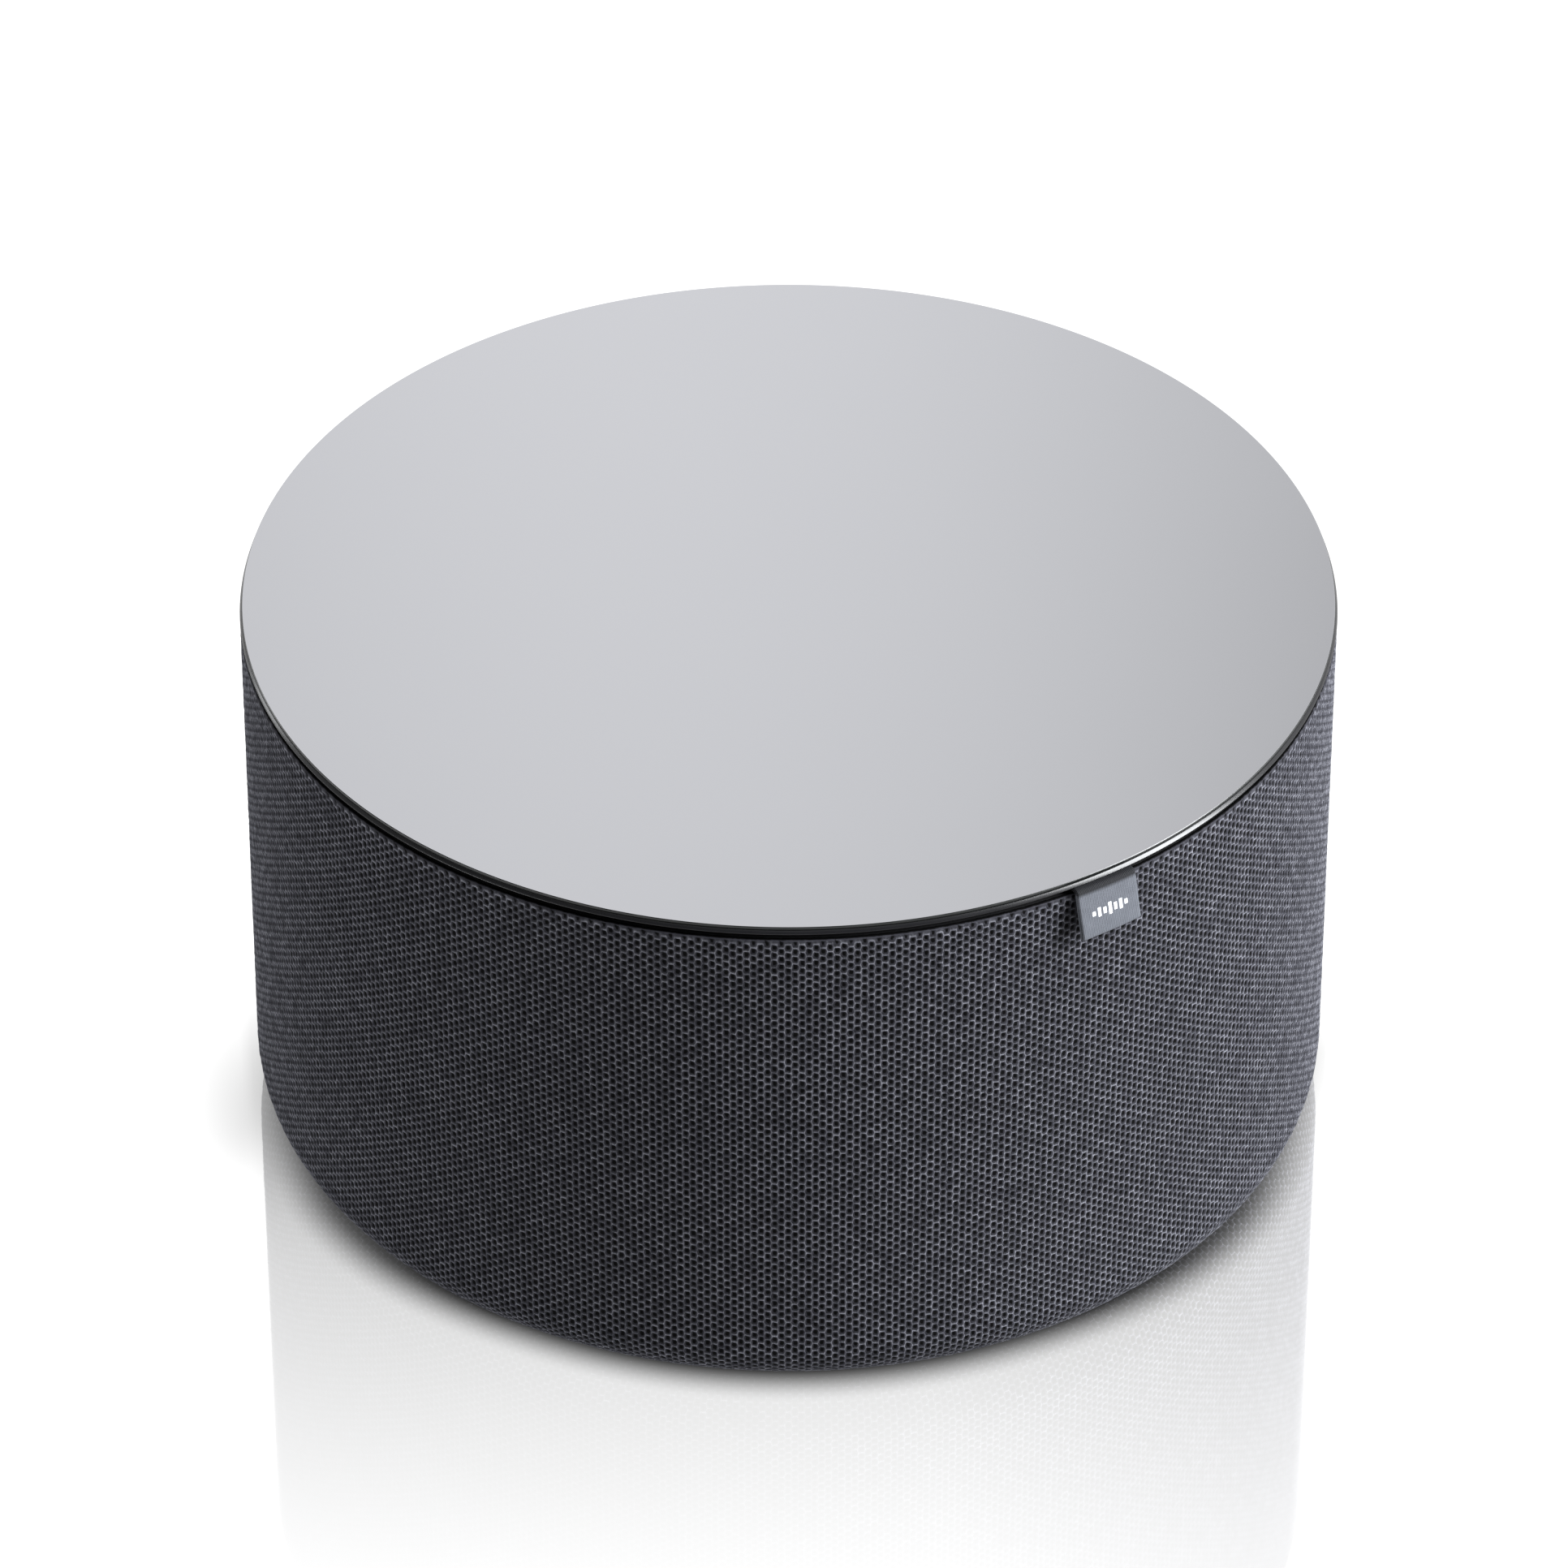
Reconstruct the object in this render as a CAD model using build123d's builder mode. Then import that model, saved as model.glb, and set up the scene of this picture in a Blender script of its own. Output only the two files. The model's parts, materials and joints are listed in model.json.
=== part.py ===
from build123d import *
import os
from math import asin, cos, radians, sin

# Smart home hub: a low drum wrapped in acoustic mesh, with a mirror glass touch top, loudspeakers
# in a sealed box inside, electronics behind the box and a port bay at the lower rear.
# Frame: millimetres, +Z up, origin at the centre of the foot's bottom, -Y is the front.

os.makedirs("parts", exist_ok=True)


def finish(piece, name):
    """Label one finished piece and write its STEP file."""
    piece.part.label = name
    export_step(piece.part, f"parts/{name}.step")


# ---- Driving dimensions: outside -----------------------------------------------------------
body_r = 110.0
total_height = 118.5
fabric_bottom = 1.5
fabric_t = 0.8
corner_r = 10.5
corner_z = fabric_bottom + corner_r
crown_z = total_height - 2.4
crown_round = 0.6
hem_r = 96.0

glass_t = 1.0
glass_r = body_r - 0.65
glass_z = total_height - glass_t
glass_edge_break = 0.15

trim_lip_t = 0.58
trim_chamfer = 0.5
trim_edge_break = 0.06
trim_top_z = total_height - 0.8
trim_bottom_z = total_height - 1.5
trim_web_t = 0.4
trim_inner_r = 104.2

neck_r = 108.0
sleeve_neck_r = neck_r + 0.3
shell_t = 1.8
shell_r = body_r - fabric_t
shell_top_z = crown_z - fabric_t

# ---- Driving dimensions: port bay ----------------------------------------------------------
bay_z = 25.0
bay_width = 76.0
bay_height = 22.0
bay_corner_r = 5.0
bay_lip = 2.0
bay_floor_y = 97.0
bay_floor_t = 2.0
bay_reach = 20.0
socket_gap = 0.1

# ---- Driving dimensions: enclosure and drivers ---------------------------------------------
box_apothem = 90.0
box_wall = 3.0
box_back_y = 56.0
box_bottom = 22.0
box_top = 100.5
gasket_t = 0.5
lid_t = 3.0
lid_z = box_top + gasket_t
lid_top = lid_z + lid_t

woofer_y = -18.0
woofer_flange_r = 52.0
woofer_gap = 0.05
facet_turn = 360 / 7
fullrange_angle = facet_turn
fullrange_z = 74.0
radiator_angle = 2 * facet_turn
radiator_z = 62.0

# ---- Driving dimensions: base and fasteners ------------------------------------------------
base_bottom = 1.6
base_top = 5.0
foot_inner_r = 80.0
foot_outer_r = 90.0
foot_groove_z = 3.4
base_post_circle = 75.0
lid_post_circle = 91.5
rear_post_x = 70.0
rear_post_y = 49.0

screw_r = 1.4
pilot_r = 1.45
clearance_r = 1.7
head_r = 2.8
head_t = 2.0
head_recess_r = 3.2
drive_r = 1.2
drive_depth = 1.2
base_screw_seat = 8.0
base_screw_length = 22.0
top_screw_seat = 107.0
top_screw_length = 18.0
overlap = 0.2

board_t = 1.6
main_board_y = 60.0
io_board_z = 15.9
psu_board_z = 46.0


# ---- Shared outlines and places ------------------------------------------------------------
def box_outline(apothem, back_y):
    """Draw the seven-sided plan of the speaker box, cut off flat at the back."""
    RegularPolygon(radius=apothem, side_count=7, major_radius=False, rotation=90)
    with Locations((0, back_y + body_r)):
        Rectangle(4 * body_r, 2 * body_r, mode=Mode.SUBTRACT)


def polar_point(radius, angle, z=0.0):
    """Point at an angle in degrees counted from the front towards +X."""
    return (radius * sin(radians(angle)), -radius * cos(radians(angle)), z)


def base_post_points():
    """Posts between base plate and speaker box, one under each corner but the cut one."""
    return [polar_point(base_post_circle, (k + 0.5) * facet_turn) for k in (-3, -2, -1, 0, 1, 2)]


def lid_post_points():
    """Screw pillars in the four front corners of the speaker box and at its back wall."""
    front = [polar_point(lid_post_circle, (k + 0.5) * facet_turn) for k in (-2, -1, 0, 1)]
    return front + [(-rear_post_x, rear_post_y, 0), (rear_post_x, rear_post_y, 0)]


def facet_direction(angle):
    """Outward direction of a facet of the speaker box."""
    return Vector(*polar_point(1, angle))


def facet_section(angle, z):
    """Plane through a side driver's axis: local x is its radius, local y is outwards."""
    outward = facet_direction(angle)
    return Plane(origin=(0, 0, z), x_dir=(0, 0, 1), z_dir=Vector(0, 0, 1).cross(outward))


def facet_axis(angle, z):
    """Axis of a side driver, pointing outwards."""
    return Axis((0, 0, z), tuple(facet_direction(angle)))


def facet_plane(angle, z, distance):
    """Plane that faces outwards at a distance from the hub's middle."""
    outward = facet_direction(angle)
    return Plane(origin=outward * distance + Vector(0, 0, z), x_dir=(0, 0, 1), z_dir=outward)


def dome_arc(rim_r, rim_z, rise):
    """Arc of a spherical dome's section, from its rim to its crown on the axis."""
    sphere_r = (rim_r**2 + rise**2) / (2 * abs(rise))
    centre_z = rim_z + rise - (sphere_r if rise > 0 else -sphere_r)
    half_turn = asin(rim_r / sphere_r) / 2
    reach = sphere_r * cos(half_turn)
    middle = (sphere_r * sin(half_turn), centre_z + (reach if rise > 0 else -reach))
    return ThreePointArc((rim_r, rim_z), middle, (0, rim_z + rise))


def half_roll(inner_lip, inner_r, outer_r, outer_lip, level, t, bulge):
    """Draw a surround's section: two flat lips joined by a half roll that bulges one way."""
    middle = (inner_r + outer_r) / 2
    inside = (outer_r - inner_r) / 2
    outside = inside + t
    near, far = (level, level + t) if bulge > 0 else (level, level - t)
    with BuildLine() as outline:
        Polyline((inner_lip, near), (inner_lip, far), (inner_r - t, far))
        ThreePointArc(
            (middle - outside, far), (middle, far + bulge * outside), (middle + outside, far)
        )
        Polyline((outer_r + t, far), (outer_lip, far), (outer_lip, near), (outer_r, near))
        Line((outer_r, near), (outer_r, far))
        ThreePointArc((outer_r, far), (middle, far + bulge * inside), (inner_r, far))
        Polyline((inner_r, far), (inner_r, near), (inner_lip, near))
    make_face(outline.edges())


bay_plane = Plane.XZ.offset(-bay_floor_y)
woofer_section = Plane.XZ.offset(-woofer_y)
woofer_axis = Axis((0, woofer_y, 0), (0, 0, 1))

# ---- Top: glass, touch film, trim ring, frame ----------------------------------------------
with BuildPart() as glass_top_plate:
    with BuildSketch(Plane.XY.offset(glass_z)):
        Circle(glass_r)
    extrude(amount=glass_t)
    chamfer(glass_top_plate.faces().sort_by(Axis.Z)[-1].edges(), length=glass_edge_break)
finish(glass_top_plate, "glass_top_plate")

trim_seat_z = trim_bottom_z + trim_web_t
with BuildPart() as top_trim_ring:
    with BuildSketch(Plane.XZ):
        with BuildLine():
            Polyline(
                (trim_inner_r, trim_bottom_z),
                (body_r - trim_edge_break, trim_bottom_z),
                (body_r, trim_bottom_z + trim_edge_break),
                (body_r - trim_chamfer, trim_top_z),
                (body_r - trim_lip_t, trim_top_z),
                (body_r - trim_lip_t, trim_seat_z),
                (trim_inner_r, trim_seat_z),
                close=True,
            )
        make_face()
    revolve(axis=Axis.Z)
finish(top_trim_ring, "top_trim_ring")

with BuildPart() as glass_adhesive_ring:
    with BuildSketch(Plane.XY.offset(trim_seat_z)):
        Circle(glass_r - 0.5)
        Circle(trim_inner_r, mode=Mode.SUBTRACT)
    extrude(amount=glass_z - trim_seat_z)
finish(glass_adhesive_ring, "glass_adhesive_ring")

touch_film_t = 0.25
touch_film_r = 103.6
with BuildPart() as touch_sensor_film:
    with BuildSketch(Plane.XY.offset(glass_z - touch_film_t)):
        Circle(touch_film_r)
    extrude(amount=touch_film_t)
finish(touch_sensor_film, "touch_sensor_film")

frame_top = glass_z - touch_film_t
frame_seat_r = trim_inner_r - 0.4
frame_plate_z = 115.0
frame_skirt_r = 107.0
frame_skirt_t = 2.5
frame_skirt_z = 110.5
frame_step_z = shell_top_z + 0.2
frame_rib_t = 1.6
frame_rib_depth = 4.0
frame_rib_inner = 20.0
frame_boss_r = 4.5
ribbon_slot_y = 50.0
ribbon_slot_width = 16.0
ribbon_slot_depth = 3.0
with BuildPart() as top_frame:
    with BuildSketch(Plane.XZ):
        with BuildLine():
            Polyline(
                (0, frame_plate_z),
                (0, frame_top),
                (frame_seat_r, frame_top),
                (frame_seat_r, trim_bottom_z),
                (neck_r, trim_bottom_z),
                (neck_r, frame_step_z),
                (frame_skirt_r, frame_step_z),
                (frame_skirt_r, frame_skirt_z),
                (frame_skirt_r - frame_skirt_t, frame_skirt_z),
                (frame_skirt_r - frame_skirt_t, frame_plate_z),
                close=True,
            )
        make_face()
    revolve(axis=Axis.Z)
    rib_length = frame_skirt_r - 2.0 - frame_rib_inner
    with Locations((0, 0, frame_plate_z - frame_rib_depth / 2)):
        with PolarLocations(frame_rib_inner + rib_length / 2, 12, start_angle=15):
            Box(rib_length, frame_rib_t, frame_rib_depth + overlap)
    with BuildSketch(Plane.XY.offset(lid_top)):
        with Locations(*[p[:2] for p in lid_post_points()]):
            Circle(frame_boss_r)
    extrude(amount=frame_plate_z - lid_top + overlap)
    with Locations(*[(p[0], p[1], frame_top) for p in lid_post_points()]):
        CounterBoreHole(clearance_r, head_recess_r, frame_top - top_screw_seat)
    with BuildSketch(Plane.XY.offset(frame_plate_z - 2 * frame_rib_depth)):
        with Locations((0, ribbon_slot_y)):
            Rectangle(ribbon_slot_width, ribbon_slot_depth)
    extrude(amount=4 * frame_rib_depth, mode=Mode.SUBTRACT)
finish(top_frame, "top_frame")

with BuildPart() as top_screws:
    with BuildSketch(Plane.XY.offset(top_screw_seat)):
        with Locations(*[p[:2] for p in lid_post_points()]):
            Circle(head_r)
    extrude(amount=head_t)
    with BuildSketch(Plane.XY.offset(top_screw_seat)):
        with Locations(*[p[:2] for p in lid_post_points()]):
            Circle(screw_r)
    extrude(amount=-top_screw_length)
    with BuildSketch(Plane.XY.offset(top_screw_seat + head_t)):
        with Locations(*[p[:2] for p in lid_post_points()]):
            RegularPolygon(radius=drive_r, side_count=6)
    extrude(amount=-drive_depth, mode=Mode.SUBTRACT)
finish(top_screws, "top_screws")


# ---- Skin: fabric sleeve, label, slotted shell ----------------------------------------------
def drum_section(outer_r, bottom, inner_r, t, top):
    """Draw the wall's section: flat hem, round corner and upright side, t thick."""
    bend_out = corner_z - bottom
    bend_in = bend_out - t
    slant = sin(radians(45))
    centre_r = outer_r - bend_out
    with BuildLine() as outline:
        Line((inner_r, bottom), (centre_r, bottom))
        ThreePointArc(
            (centre_r, bottom),
            (centre_r + bend_out * slant, corner_z - bend_out * slant),
            (outer_r, corner_z),
        )
        Polyline((outer_r, corner_z), (outer_r, top), (outer_r - t, top), (outer_r - t, corner_z))
        ThreePointArc(
            (outer_r - t, corner_z),
            (centre_r + bend_in * slant, corner_z - bend_in * slant),
            (centre_r, bottom + t),
        )
        Polyline((centre_r, bottom + t), (inner_r, bottom + t), (inner_r, bottom))
    make_face(outline.edges())


window_margin = 2 * (bay_lip + 0.2)
with BuildPart() as fabric_sleeve:
    with BuildSketch(Plane.XZ) as sleeve_section:
        drum_section(body_r, fabric_bottom, hem_r, fabric_t, shell_top_z)
        with BuildLine():
            Polyline(
                (body_r, shell_top_z),
                (body_r, crown_z),
                (sleeve_neck_r, crown_z),
                (sleeve_neck_r, shell_top_z),
                close=True,
            )
        make_face()
        crown_corner = sleeve_section.vertices().group_by(Axis.Y)[-1].sort_by(Axis.X)[-1]
        fillet(crown_corner, radius=crown_round)
    revolve(axis=Axis.Z)
    with BuildSketch(bay_plane):
        with Locations((0, bay_z)):
            RectangleRounded(
                bay_width + window_margin, bay_height + window_margin, bay_corner_r + bay_lip
            )
    extrude(amount=-bay_reach, mode=Mode.SUBTRACT)
finish(fabric_sleeve, "fabric_sleeve")

label_angle = 33.4
label_width = 13.6
label_ply = 0.35
label_root_r = neck_r + 0.5
label_top = trim_bottom_z - 0.05
label_tail_z = label_top - 2 * label_ply
label_bottom = 106.4
label_front_lean = (body_r + 1.5, body_r + 3.9)
label_back_lean = (body_r + 0.6, body_r + 2.7)
label_plane = Plane(
    origin=(0, 0, 0),
    x_dir=tuple(facet_direction(label_angle)),
    z_dir=facet_direction(label_angle).cross(Vector(0, 0, 1)),
)


def lean(ends, z):
    """Radius of a leaning ply at a height, from its radii at the label's top and bottom."""
    share = (label_top - z) / (label_top - label_bottom)
    return ends[0] + (ends[1] - ends[0]) * share


with BuildPart() as woven_label:
    with BuildSketch(label_plane) as label_section:
        with BuildLine():
            Polyline(
                (label_root_r, label_tail_z),
                (label_root_r, label_top),
                (label_front_lean[0], label_top),
                (label_front_lean[1], label_bottom),
                (label_back_lean[1], label_bottom),
                (lean(label_back_lean, label_tail_z), label_tail_z),
                close=True,
            )
        make_face()
        label_corners = label_section.vertices().group_by(Axis.X)[1:]
        fillet(label_corners, radius=0.5)
        hollow_top = label_tail_z - label_ply
        hollow_bottom = label_bottom + label_ply
        with BuildLine():
            Polyline(
                (lean(label_front_lean, hollow_top) - label_ply, hollow_top),
                (lean(label_front_lean, hollow_bottom) - label_ply, hollow_bottom),
                (lean(label_back_lean, hollow_bottom) + label_ply, hollow_bottom),
                (lean(label_back_lean, hollow_top) + label_ply, hollow_top),
                close=True,
            )
        make_face(mode=Mode.SUBTRACT)
    extrude(amount=label_width / 2, both=True)
finish(woven_label, "woven_label")

slot_count = 60
slot_width = 7.0
slot_height = 20.0
slot_pitch = 24.5
first_slot_z = 26.5
bay_guard_angle = 26.0
base_edge_r = 93.2
hem_seat_z = fabric_bottom + fabric_t
with BuildPart() as grille_shell:
    with BuildSketch(Plane.XZ):
        drum_section(shell_r, hem_seat_z, base_edge_r + 0.3, shell_t, shell_top_z)
    revolve(axis=Axis.Z)
    for row in range(4):
        turns = [k * 360 / slot_count for k in range(slot_count)]
        if row == 0:
            turns = [a for a in turns if abs(a - 180) > bay_guard_angle]
        places = [
            Location(polar_point(shell_r - 1, a, first_slot_z + row * slot_pitch), (0, 0, a))
            for a in turns
        ]
        with Locations(*places):
            Box(slot_width, 3 * shell_t, slot_height, mode=Mode.SUBTRACT)
    with BuildSketch(bay_plane):
        with Locations((0, bay_z)):
            RectangleRounded(bay_width, bay_height, bay_corner_r)
    extrude(amount=-bay_reach, mode=Mode.SUBTRACT)
finish(grille_shell, "grille_shell")

# ---- Base: plate, diffuser, foot, screws -----------------------------------------------------
post_r = 5.0
io_post_r = 3.0
io_post_x = 31.0
io_post_y = 66.0
psu_post_r = 3.5
psu_post_x = 38.5
psu_post_y = 68.0
with BuildPart() as base_plate:
    with BuildSketch(Plane.XZ):
        with BuildLine():
            Polyline(
                (0, base_bottom),
                (foot_inner_r, base_bottom),
                (foot_inner_r, foot_groove_z),
                (foot_outer_r, foot_groove_z),
                (foot_outer_r, base_bottom),
                (hem_r - 0.3, base_bottom),
                (hem_r - 0.3, hem_seat_z),
                (base_edge_r, hem_seat_z),
                (base_edge_r, base_top),
                (0, base_top),
                close=True,
            )
        make_face()
    revolve(axis=Axis.Z)
    with BuildSketch(Plane.XY.offset(base_top - overlap)):
        with Locations(*[p[:2] for p in base_post_points()]):
            Circle(post_r)
    extrude(amount=box_bottom - base_top + overlap)
    with BuildSketch(Plane.XY.offset(base_top - overlap)):
        with Locations((-io_post_x, io_post_y), (io_post_x, io_post_y)):
            Circle(io_post_r)
    extrude(amount=io_board_z - base_top + overlap)
    with BuildSketch(Plane.XY.offset(base_top - overlap)):
        with Locations((-psu_post_x, psu_post_y), (psu_post_x, psu_post_y)):
            Circle(psu_post_r)
    extrude(amount=psu_board_z - base_top + overlap)
    with BuildSketch(Plane.XY):
        with Locations(*[p[:2] for p in base_post_points()]):
            Circle(head_recess_r)
    extrude(amount=base_screw_seat, mode=Mode.SUBTRACT)
    with BuildSketch(Plane.XY):
        with Locations(*[p[:2] for p in base_post_points()]):
            Circle(clearance_r)
    extrude(amount=box_bottom + 1, mode=Mode.SUBTRACT)
finish(base_plate, "base_plate")

diffuser_r = 36.0
diffuser_top = 15.2
diffuser_t = 1.6
with BuildPart() as sound_diffuser:
    with BuildSketch(woofer_section):
        with BuildLine():
            Polyline(
                (diffuser_r, base_top),
                (diffuser_r - 3, base_top),
                (14, base_top + 3.6),
                (4, diffuser_top - diffuser_t),
                (0, diffuser_top - diffuser_t),
                (0, diffuser_top),
                (4.6, diffuser_top),
                (15, base_top + 5),
                (diffuser_r, base_top + 0.6),
                close=True,
            )
        make_face()
    revolve(axis=woofer_axis)
finish(sound_diffuser, "sound_diffuser")

foot_gap = 0.3
with BuildPart() as foot_ring:
    with BuildSketch(Plane.XZ) as foot_section:
        with Locations(((foot_inner_r + foot_outer_r) / 2, foot_groove_z / 2)):
            Rectangle(foot_outer_r - foot_inner_r - 2 * foot_gap, foot_groove_z)
        fillet(foot_section.vertices().group_by(Axis.Y)[0], radius=0.8)
    revolve(axis=Axis.Z)
finish(foot_ring, "foot_ring")

with BuildPart() as base_screws:
    with BuildSketch(Plane.XY.offset(base_screw_seat)):
        with Locations(*[p[:2] for p in base_post_points()]):
            Circle(head_r)
    extrude(amount=-head_t)
    with BuildSketch(Plane.XY.offset(base_screw_seat)):
        with Locations(*[p[:2] for p in base_post_points()]):
            Circle(screw_r)
    extrude(amount=base_screw_length)
    with BuildSketch(Plane.XY.offset(base_screw_seat - head_t)):
        with Locations(*[p[:2] for p in base_post_points()]):
            RegularPolygon(radius=drive_r, side_count=6)
    extrude(amount=drive_depth, mode=Mode.SUBTRACT)
finish(base_screws, "base_screws")

# ---- Speaker box -----------------------------------------------------------------------------
box_floor_t = 3.5
base_boss_r = 4.0
lid_boss_r = 5.0
standoff_r = 3.0
base_pilot_depth = 9.5
lid_pilot_depth = 14.0
woofer_hole_r = 46.8
fullrange_hole_r = 21.6
radiator_hole_r = 27.0
cable_hole = (-24.0, 70.0)
standoff_places = [(-52, 48), (52, 48), (-52, 94), (52, 94)]
driver_sites = [("left", -1), ("right", 1)]
with BuildPart() as enclosure_box:
    with BuildSketch(Plane.XY.offset(box_bottom)):
        box_outline(box_apothem, box_back_y)
    extrude(amount=box_top - box_bottom)
    with BuildSketch(Plane.XY.offset(box_bottom + box_floor_t)):
        box_outline(box_apothem - box_wall, box_back_y - box_wall)
    extrude(amount=box_top, mode=Mode.SUBTRACT)
    with BuildSketch(Plane.XY.offset(box_bottom + 1)):
        with Locations(*[p[:2] for p in base_post_points()]):
            Circle(base_boss_r)
    extrude(amount=base_pilot_depth + 1.5)
    with BuildSketch(Plane.XY.offset(box_bottom + 1)):
        with Locations(*[p[:2] for p in lid_post_points()]):
            Circle(lid_boss_r)
    extrude(amount=box_top - box_bottom - 1)
    with BuildSketch(Plane.XY.offset(box_bottom - 1)):
        with Locations(*[p[:2] for p in base_post_points()]):
            Circle(pilot_r)
    extrude(amount=base_pilot_depth + 1, mode=Mode.SUBTRACT)
    with BuildSketch(Plane.XY.offset(box_top)):
        with Locations(*[p[:2] for p in lid_post_points()]):
            Circle(pilot_r)
    extrude(amount=-lid_pilot_depth, mode=Mode.SUBTRACT)
    with BuildSketch(Plane.XY.offset(box_bottom - 1)):
        with Locations((0, woofer_y)):
            Circle(woofer_hole_r)
    extrude(amount=box_floor_t + 2, mode=Mode.SUBTRACT)
    for side, sign in driver_sites:
        with BuildSketch(facet_plane(sign * fullrange_angle, fullrange_z, box_apothem + 1)):
            Circle(fullrange_hole_r)
        extrude(amount=-box_wall - 2, mode=Mode.SUBTRACT)
        with BuildSketch(facet_plane(sign * radiator_angle, radiator_z, box_apothem + 1)):
            Circle(radiator_hole_r)
        extrude(amount=-box_wall - 2, mode=Mode.SUBTRACT)
    with BuildSketch(Plane.XZ.offset(overlap - box_back_y)):
        with Locations(*standoff_places):
            Circle(standoff_r)
    extrude(amount=-(main_board_y - box_back_y) - overlap)
    with BuildSketch(Plane.XZ.offset(-box_back_y - 1)):
        with Locations(cable_hole):
            Circle(1.5)
    extrude(amount=box_wall + 2, mode=Mode.SUBTRACT)
finish(enclosure_box, "enclosure_box")

gasket_inset = 0.4
with BuildPart() as enclosure_gasket:
    with BuildSketch(Plane.XY.offset(box_top)):
        box_outline(box_apothem - gasket_inset, box_back_y - gasket_inset)
    extrude(amount=gasket_t)
    with BuildSketch(Plane.XY.offset(box_top)):
        box_outline(box_apothem - box_wall + gasket_inset, box_back_y - box_wall + gasket_inset)
    extrude(amount=gasket_t, mode=Mode.SUBTRACT)
finish(enclosure_gasket, "enclosure_gasket")

with BuildPart() as enclosure_lid:
    with BuildSketch(Plane.XY.offset(lid_z)):
        box_outline(box_apothem, box_back_y)
        with Locations(*[p[:2] for p in lid_post_points()]):
            Circle(clearance_r, mode=Mode.SUBTRACT)
    extrude(amount=lid_t)
finish(enclosure_lid, "enclosure_lid")

# ---- Woofer, firing down ---------------------------------------------------------------------
flange_z = box_bottom - 2.4
rim_r = 37.0
rim_z = flange_z - 0.6
coil_former_r = 12.9
neck_z = 34.3
spider_seat_z = 39.6
spider_ledge_t = 1.0
basket_wall = 1.8
basket_mouth_r = 46.0
basket_back_r = 30.5
window_ring_r = 38.0
screw_circle = 49.2
terminal_x = -38.6
terminal_z = 38.5
top_plate_z = 46.0
magnet_z = 50.0
back_plate_z = 60.0
back_plate_t = 4.0
magnet_r = 34.0
plate_r = 33.0
pole_r = 12.2
with BuildPart() as woofer_basket:
    with BuildSketch(woofer_section):
        with BuildLine():
            Polyline(
                (woofer_flange_r, flange_z),
                (woofer_flange_r, box_bottom),
                (basket_mouth_r, box_bottom),
                (basket_back_r, top_plate_z - 2),
                (basket_back_r, top_plate_z),
                (14.5, top_plate_z),
                (14.5, top_plate_z - basket_wall),
                (basket_back_r - 1.9, top_plate_z - basket_wall),
                (31.0, spider_seat_z + spider_ledge_t),
                (29.0, spider_seat_z + spider_ledge_t),
                (29.0, spider_seat_z),
                (31.7, spider_seat_z),
                (basket_mouth_r - 1.6, box_bottom - 0.8),
                (basket_mouth_r - 1.6, flange_z),
                close=True,
            )
        make_face()
    revolve(axis=woofer_axis)
    with Locations((0, woofer_y, 31)):
        with PolarLocations(window_ring_r, 6, start_angle=30):
            Box(16, 18, 12, mode=Mode.SUBTRACT)
    with Locations((terminal_x, woofer_y, terminal_z)):
        Box(7, 4, 11)
    with BuildSketch(Plane.XY.offset(flange_z - 1)):
        with Locations((0, woofer_y)):
            with PolarLocations(screw_circle, 4, start_angle=45):
                Circle(pilot_r)
    extrude(amount=5, mode=Mode.SUBTRACT)
finish(woofer_basket, "woofer_basket")

with BuildPart() as woofer_top_plate:
    with BuildSketch(Plane.XY.offset(top_plate_z)):
        with Locations((0, woofer_y)):
            Circle(plate_r)
            Circle(pole_r + 1.7, mode=Mode.SUBTRACT)
    extrude(amount=magnet_z - top_plate_z)
finish(woofer_top_plate, "woofer_top_plate")

with BuildPart() as woofer_magnet:
    with BuildSketch(Plane.XY.offset(magnet_z)):
        with Locations((0, woofer_y)):
            Circle(magnet_r)
            Circle(magnet_r / 2, mode=Mode.SUBTRACT)
    extrude(amount=back_plate_z - magnet_z)
    chamfer(woofer_magnet.edges().filter_by(GeomType.CIRCLE).group_by(SortBy.RADIUS)[-1], length=1)
finish(woofer_magnet, "woofer_magnet")

with BuildPart() as woofer_pole_piece:
    with BuildSketch(Plane.XY.offset(back_plate_z)):
        with Locations((0, woofer_y)):
            Circle(plate_r)
    extrude(amount=back_plate_t)
    with BuildSketch(Plane.XY.offset(top_plate_z)):
        with Locations((0, woofer_y)):
            Circle(pole_r)
    extrude(amount=back_plate_z - top_plate_z)
    with BuildSketch(Plane.XY.offset(top_plate_z - 1)):
        with Locations((0, woofer_y)):
            Circle(4)
    extrude(amount=30, mode=Mode.SUBTRACT)
finish(woofer_pole_piece, "woofer_pole_piece")

coil_z = 44.0
coil_length = 7.0
winding_t = 0.5
former_t = 0.2
former_top = coil_z + coil_length + 3.5
with BuildPart() as woofer_voice_coil:
    with BuildSketch(woofer_section):
        with BuildLine():
            Polyline(
                (coil_former_r - former_t, neck_z - 1),
                (coil_former_r, neck_z - 1),
                (coil_former_r, coil_z),
                (coil_former_r + winding_t, coil_z),
                (coil_former_r + winding_t, coil_z + coil_length),
                (coil_former_r, coil_z + coil_length),
                (coil_former_r, former_top),
                (coil_former_r - former_t, former_top),
                close=True,
            )
        make_face()
    revolve(axis=woofer_axis)
finish(woofer_voice_coil, "woofer_voice_coil")

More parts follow.
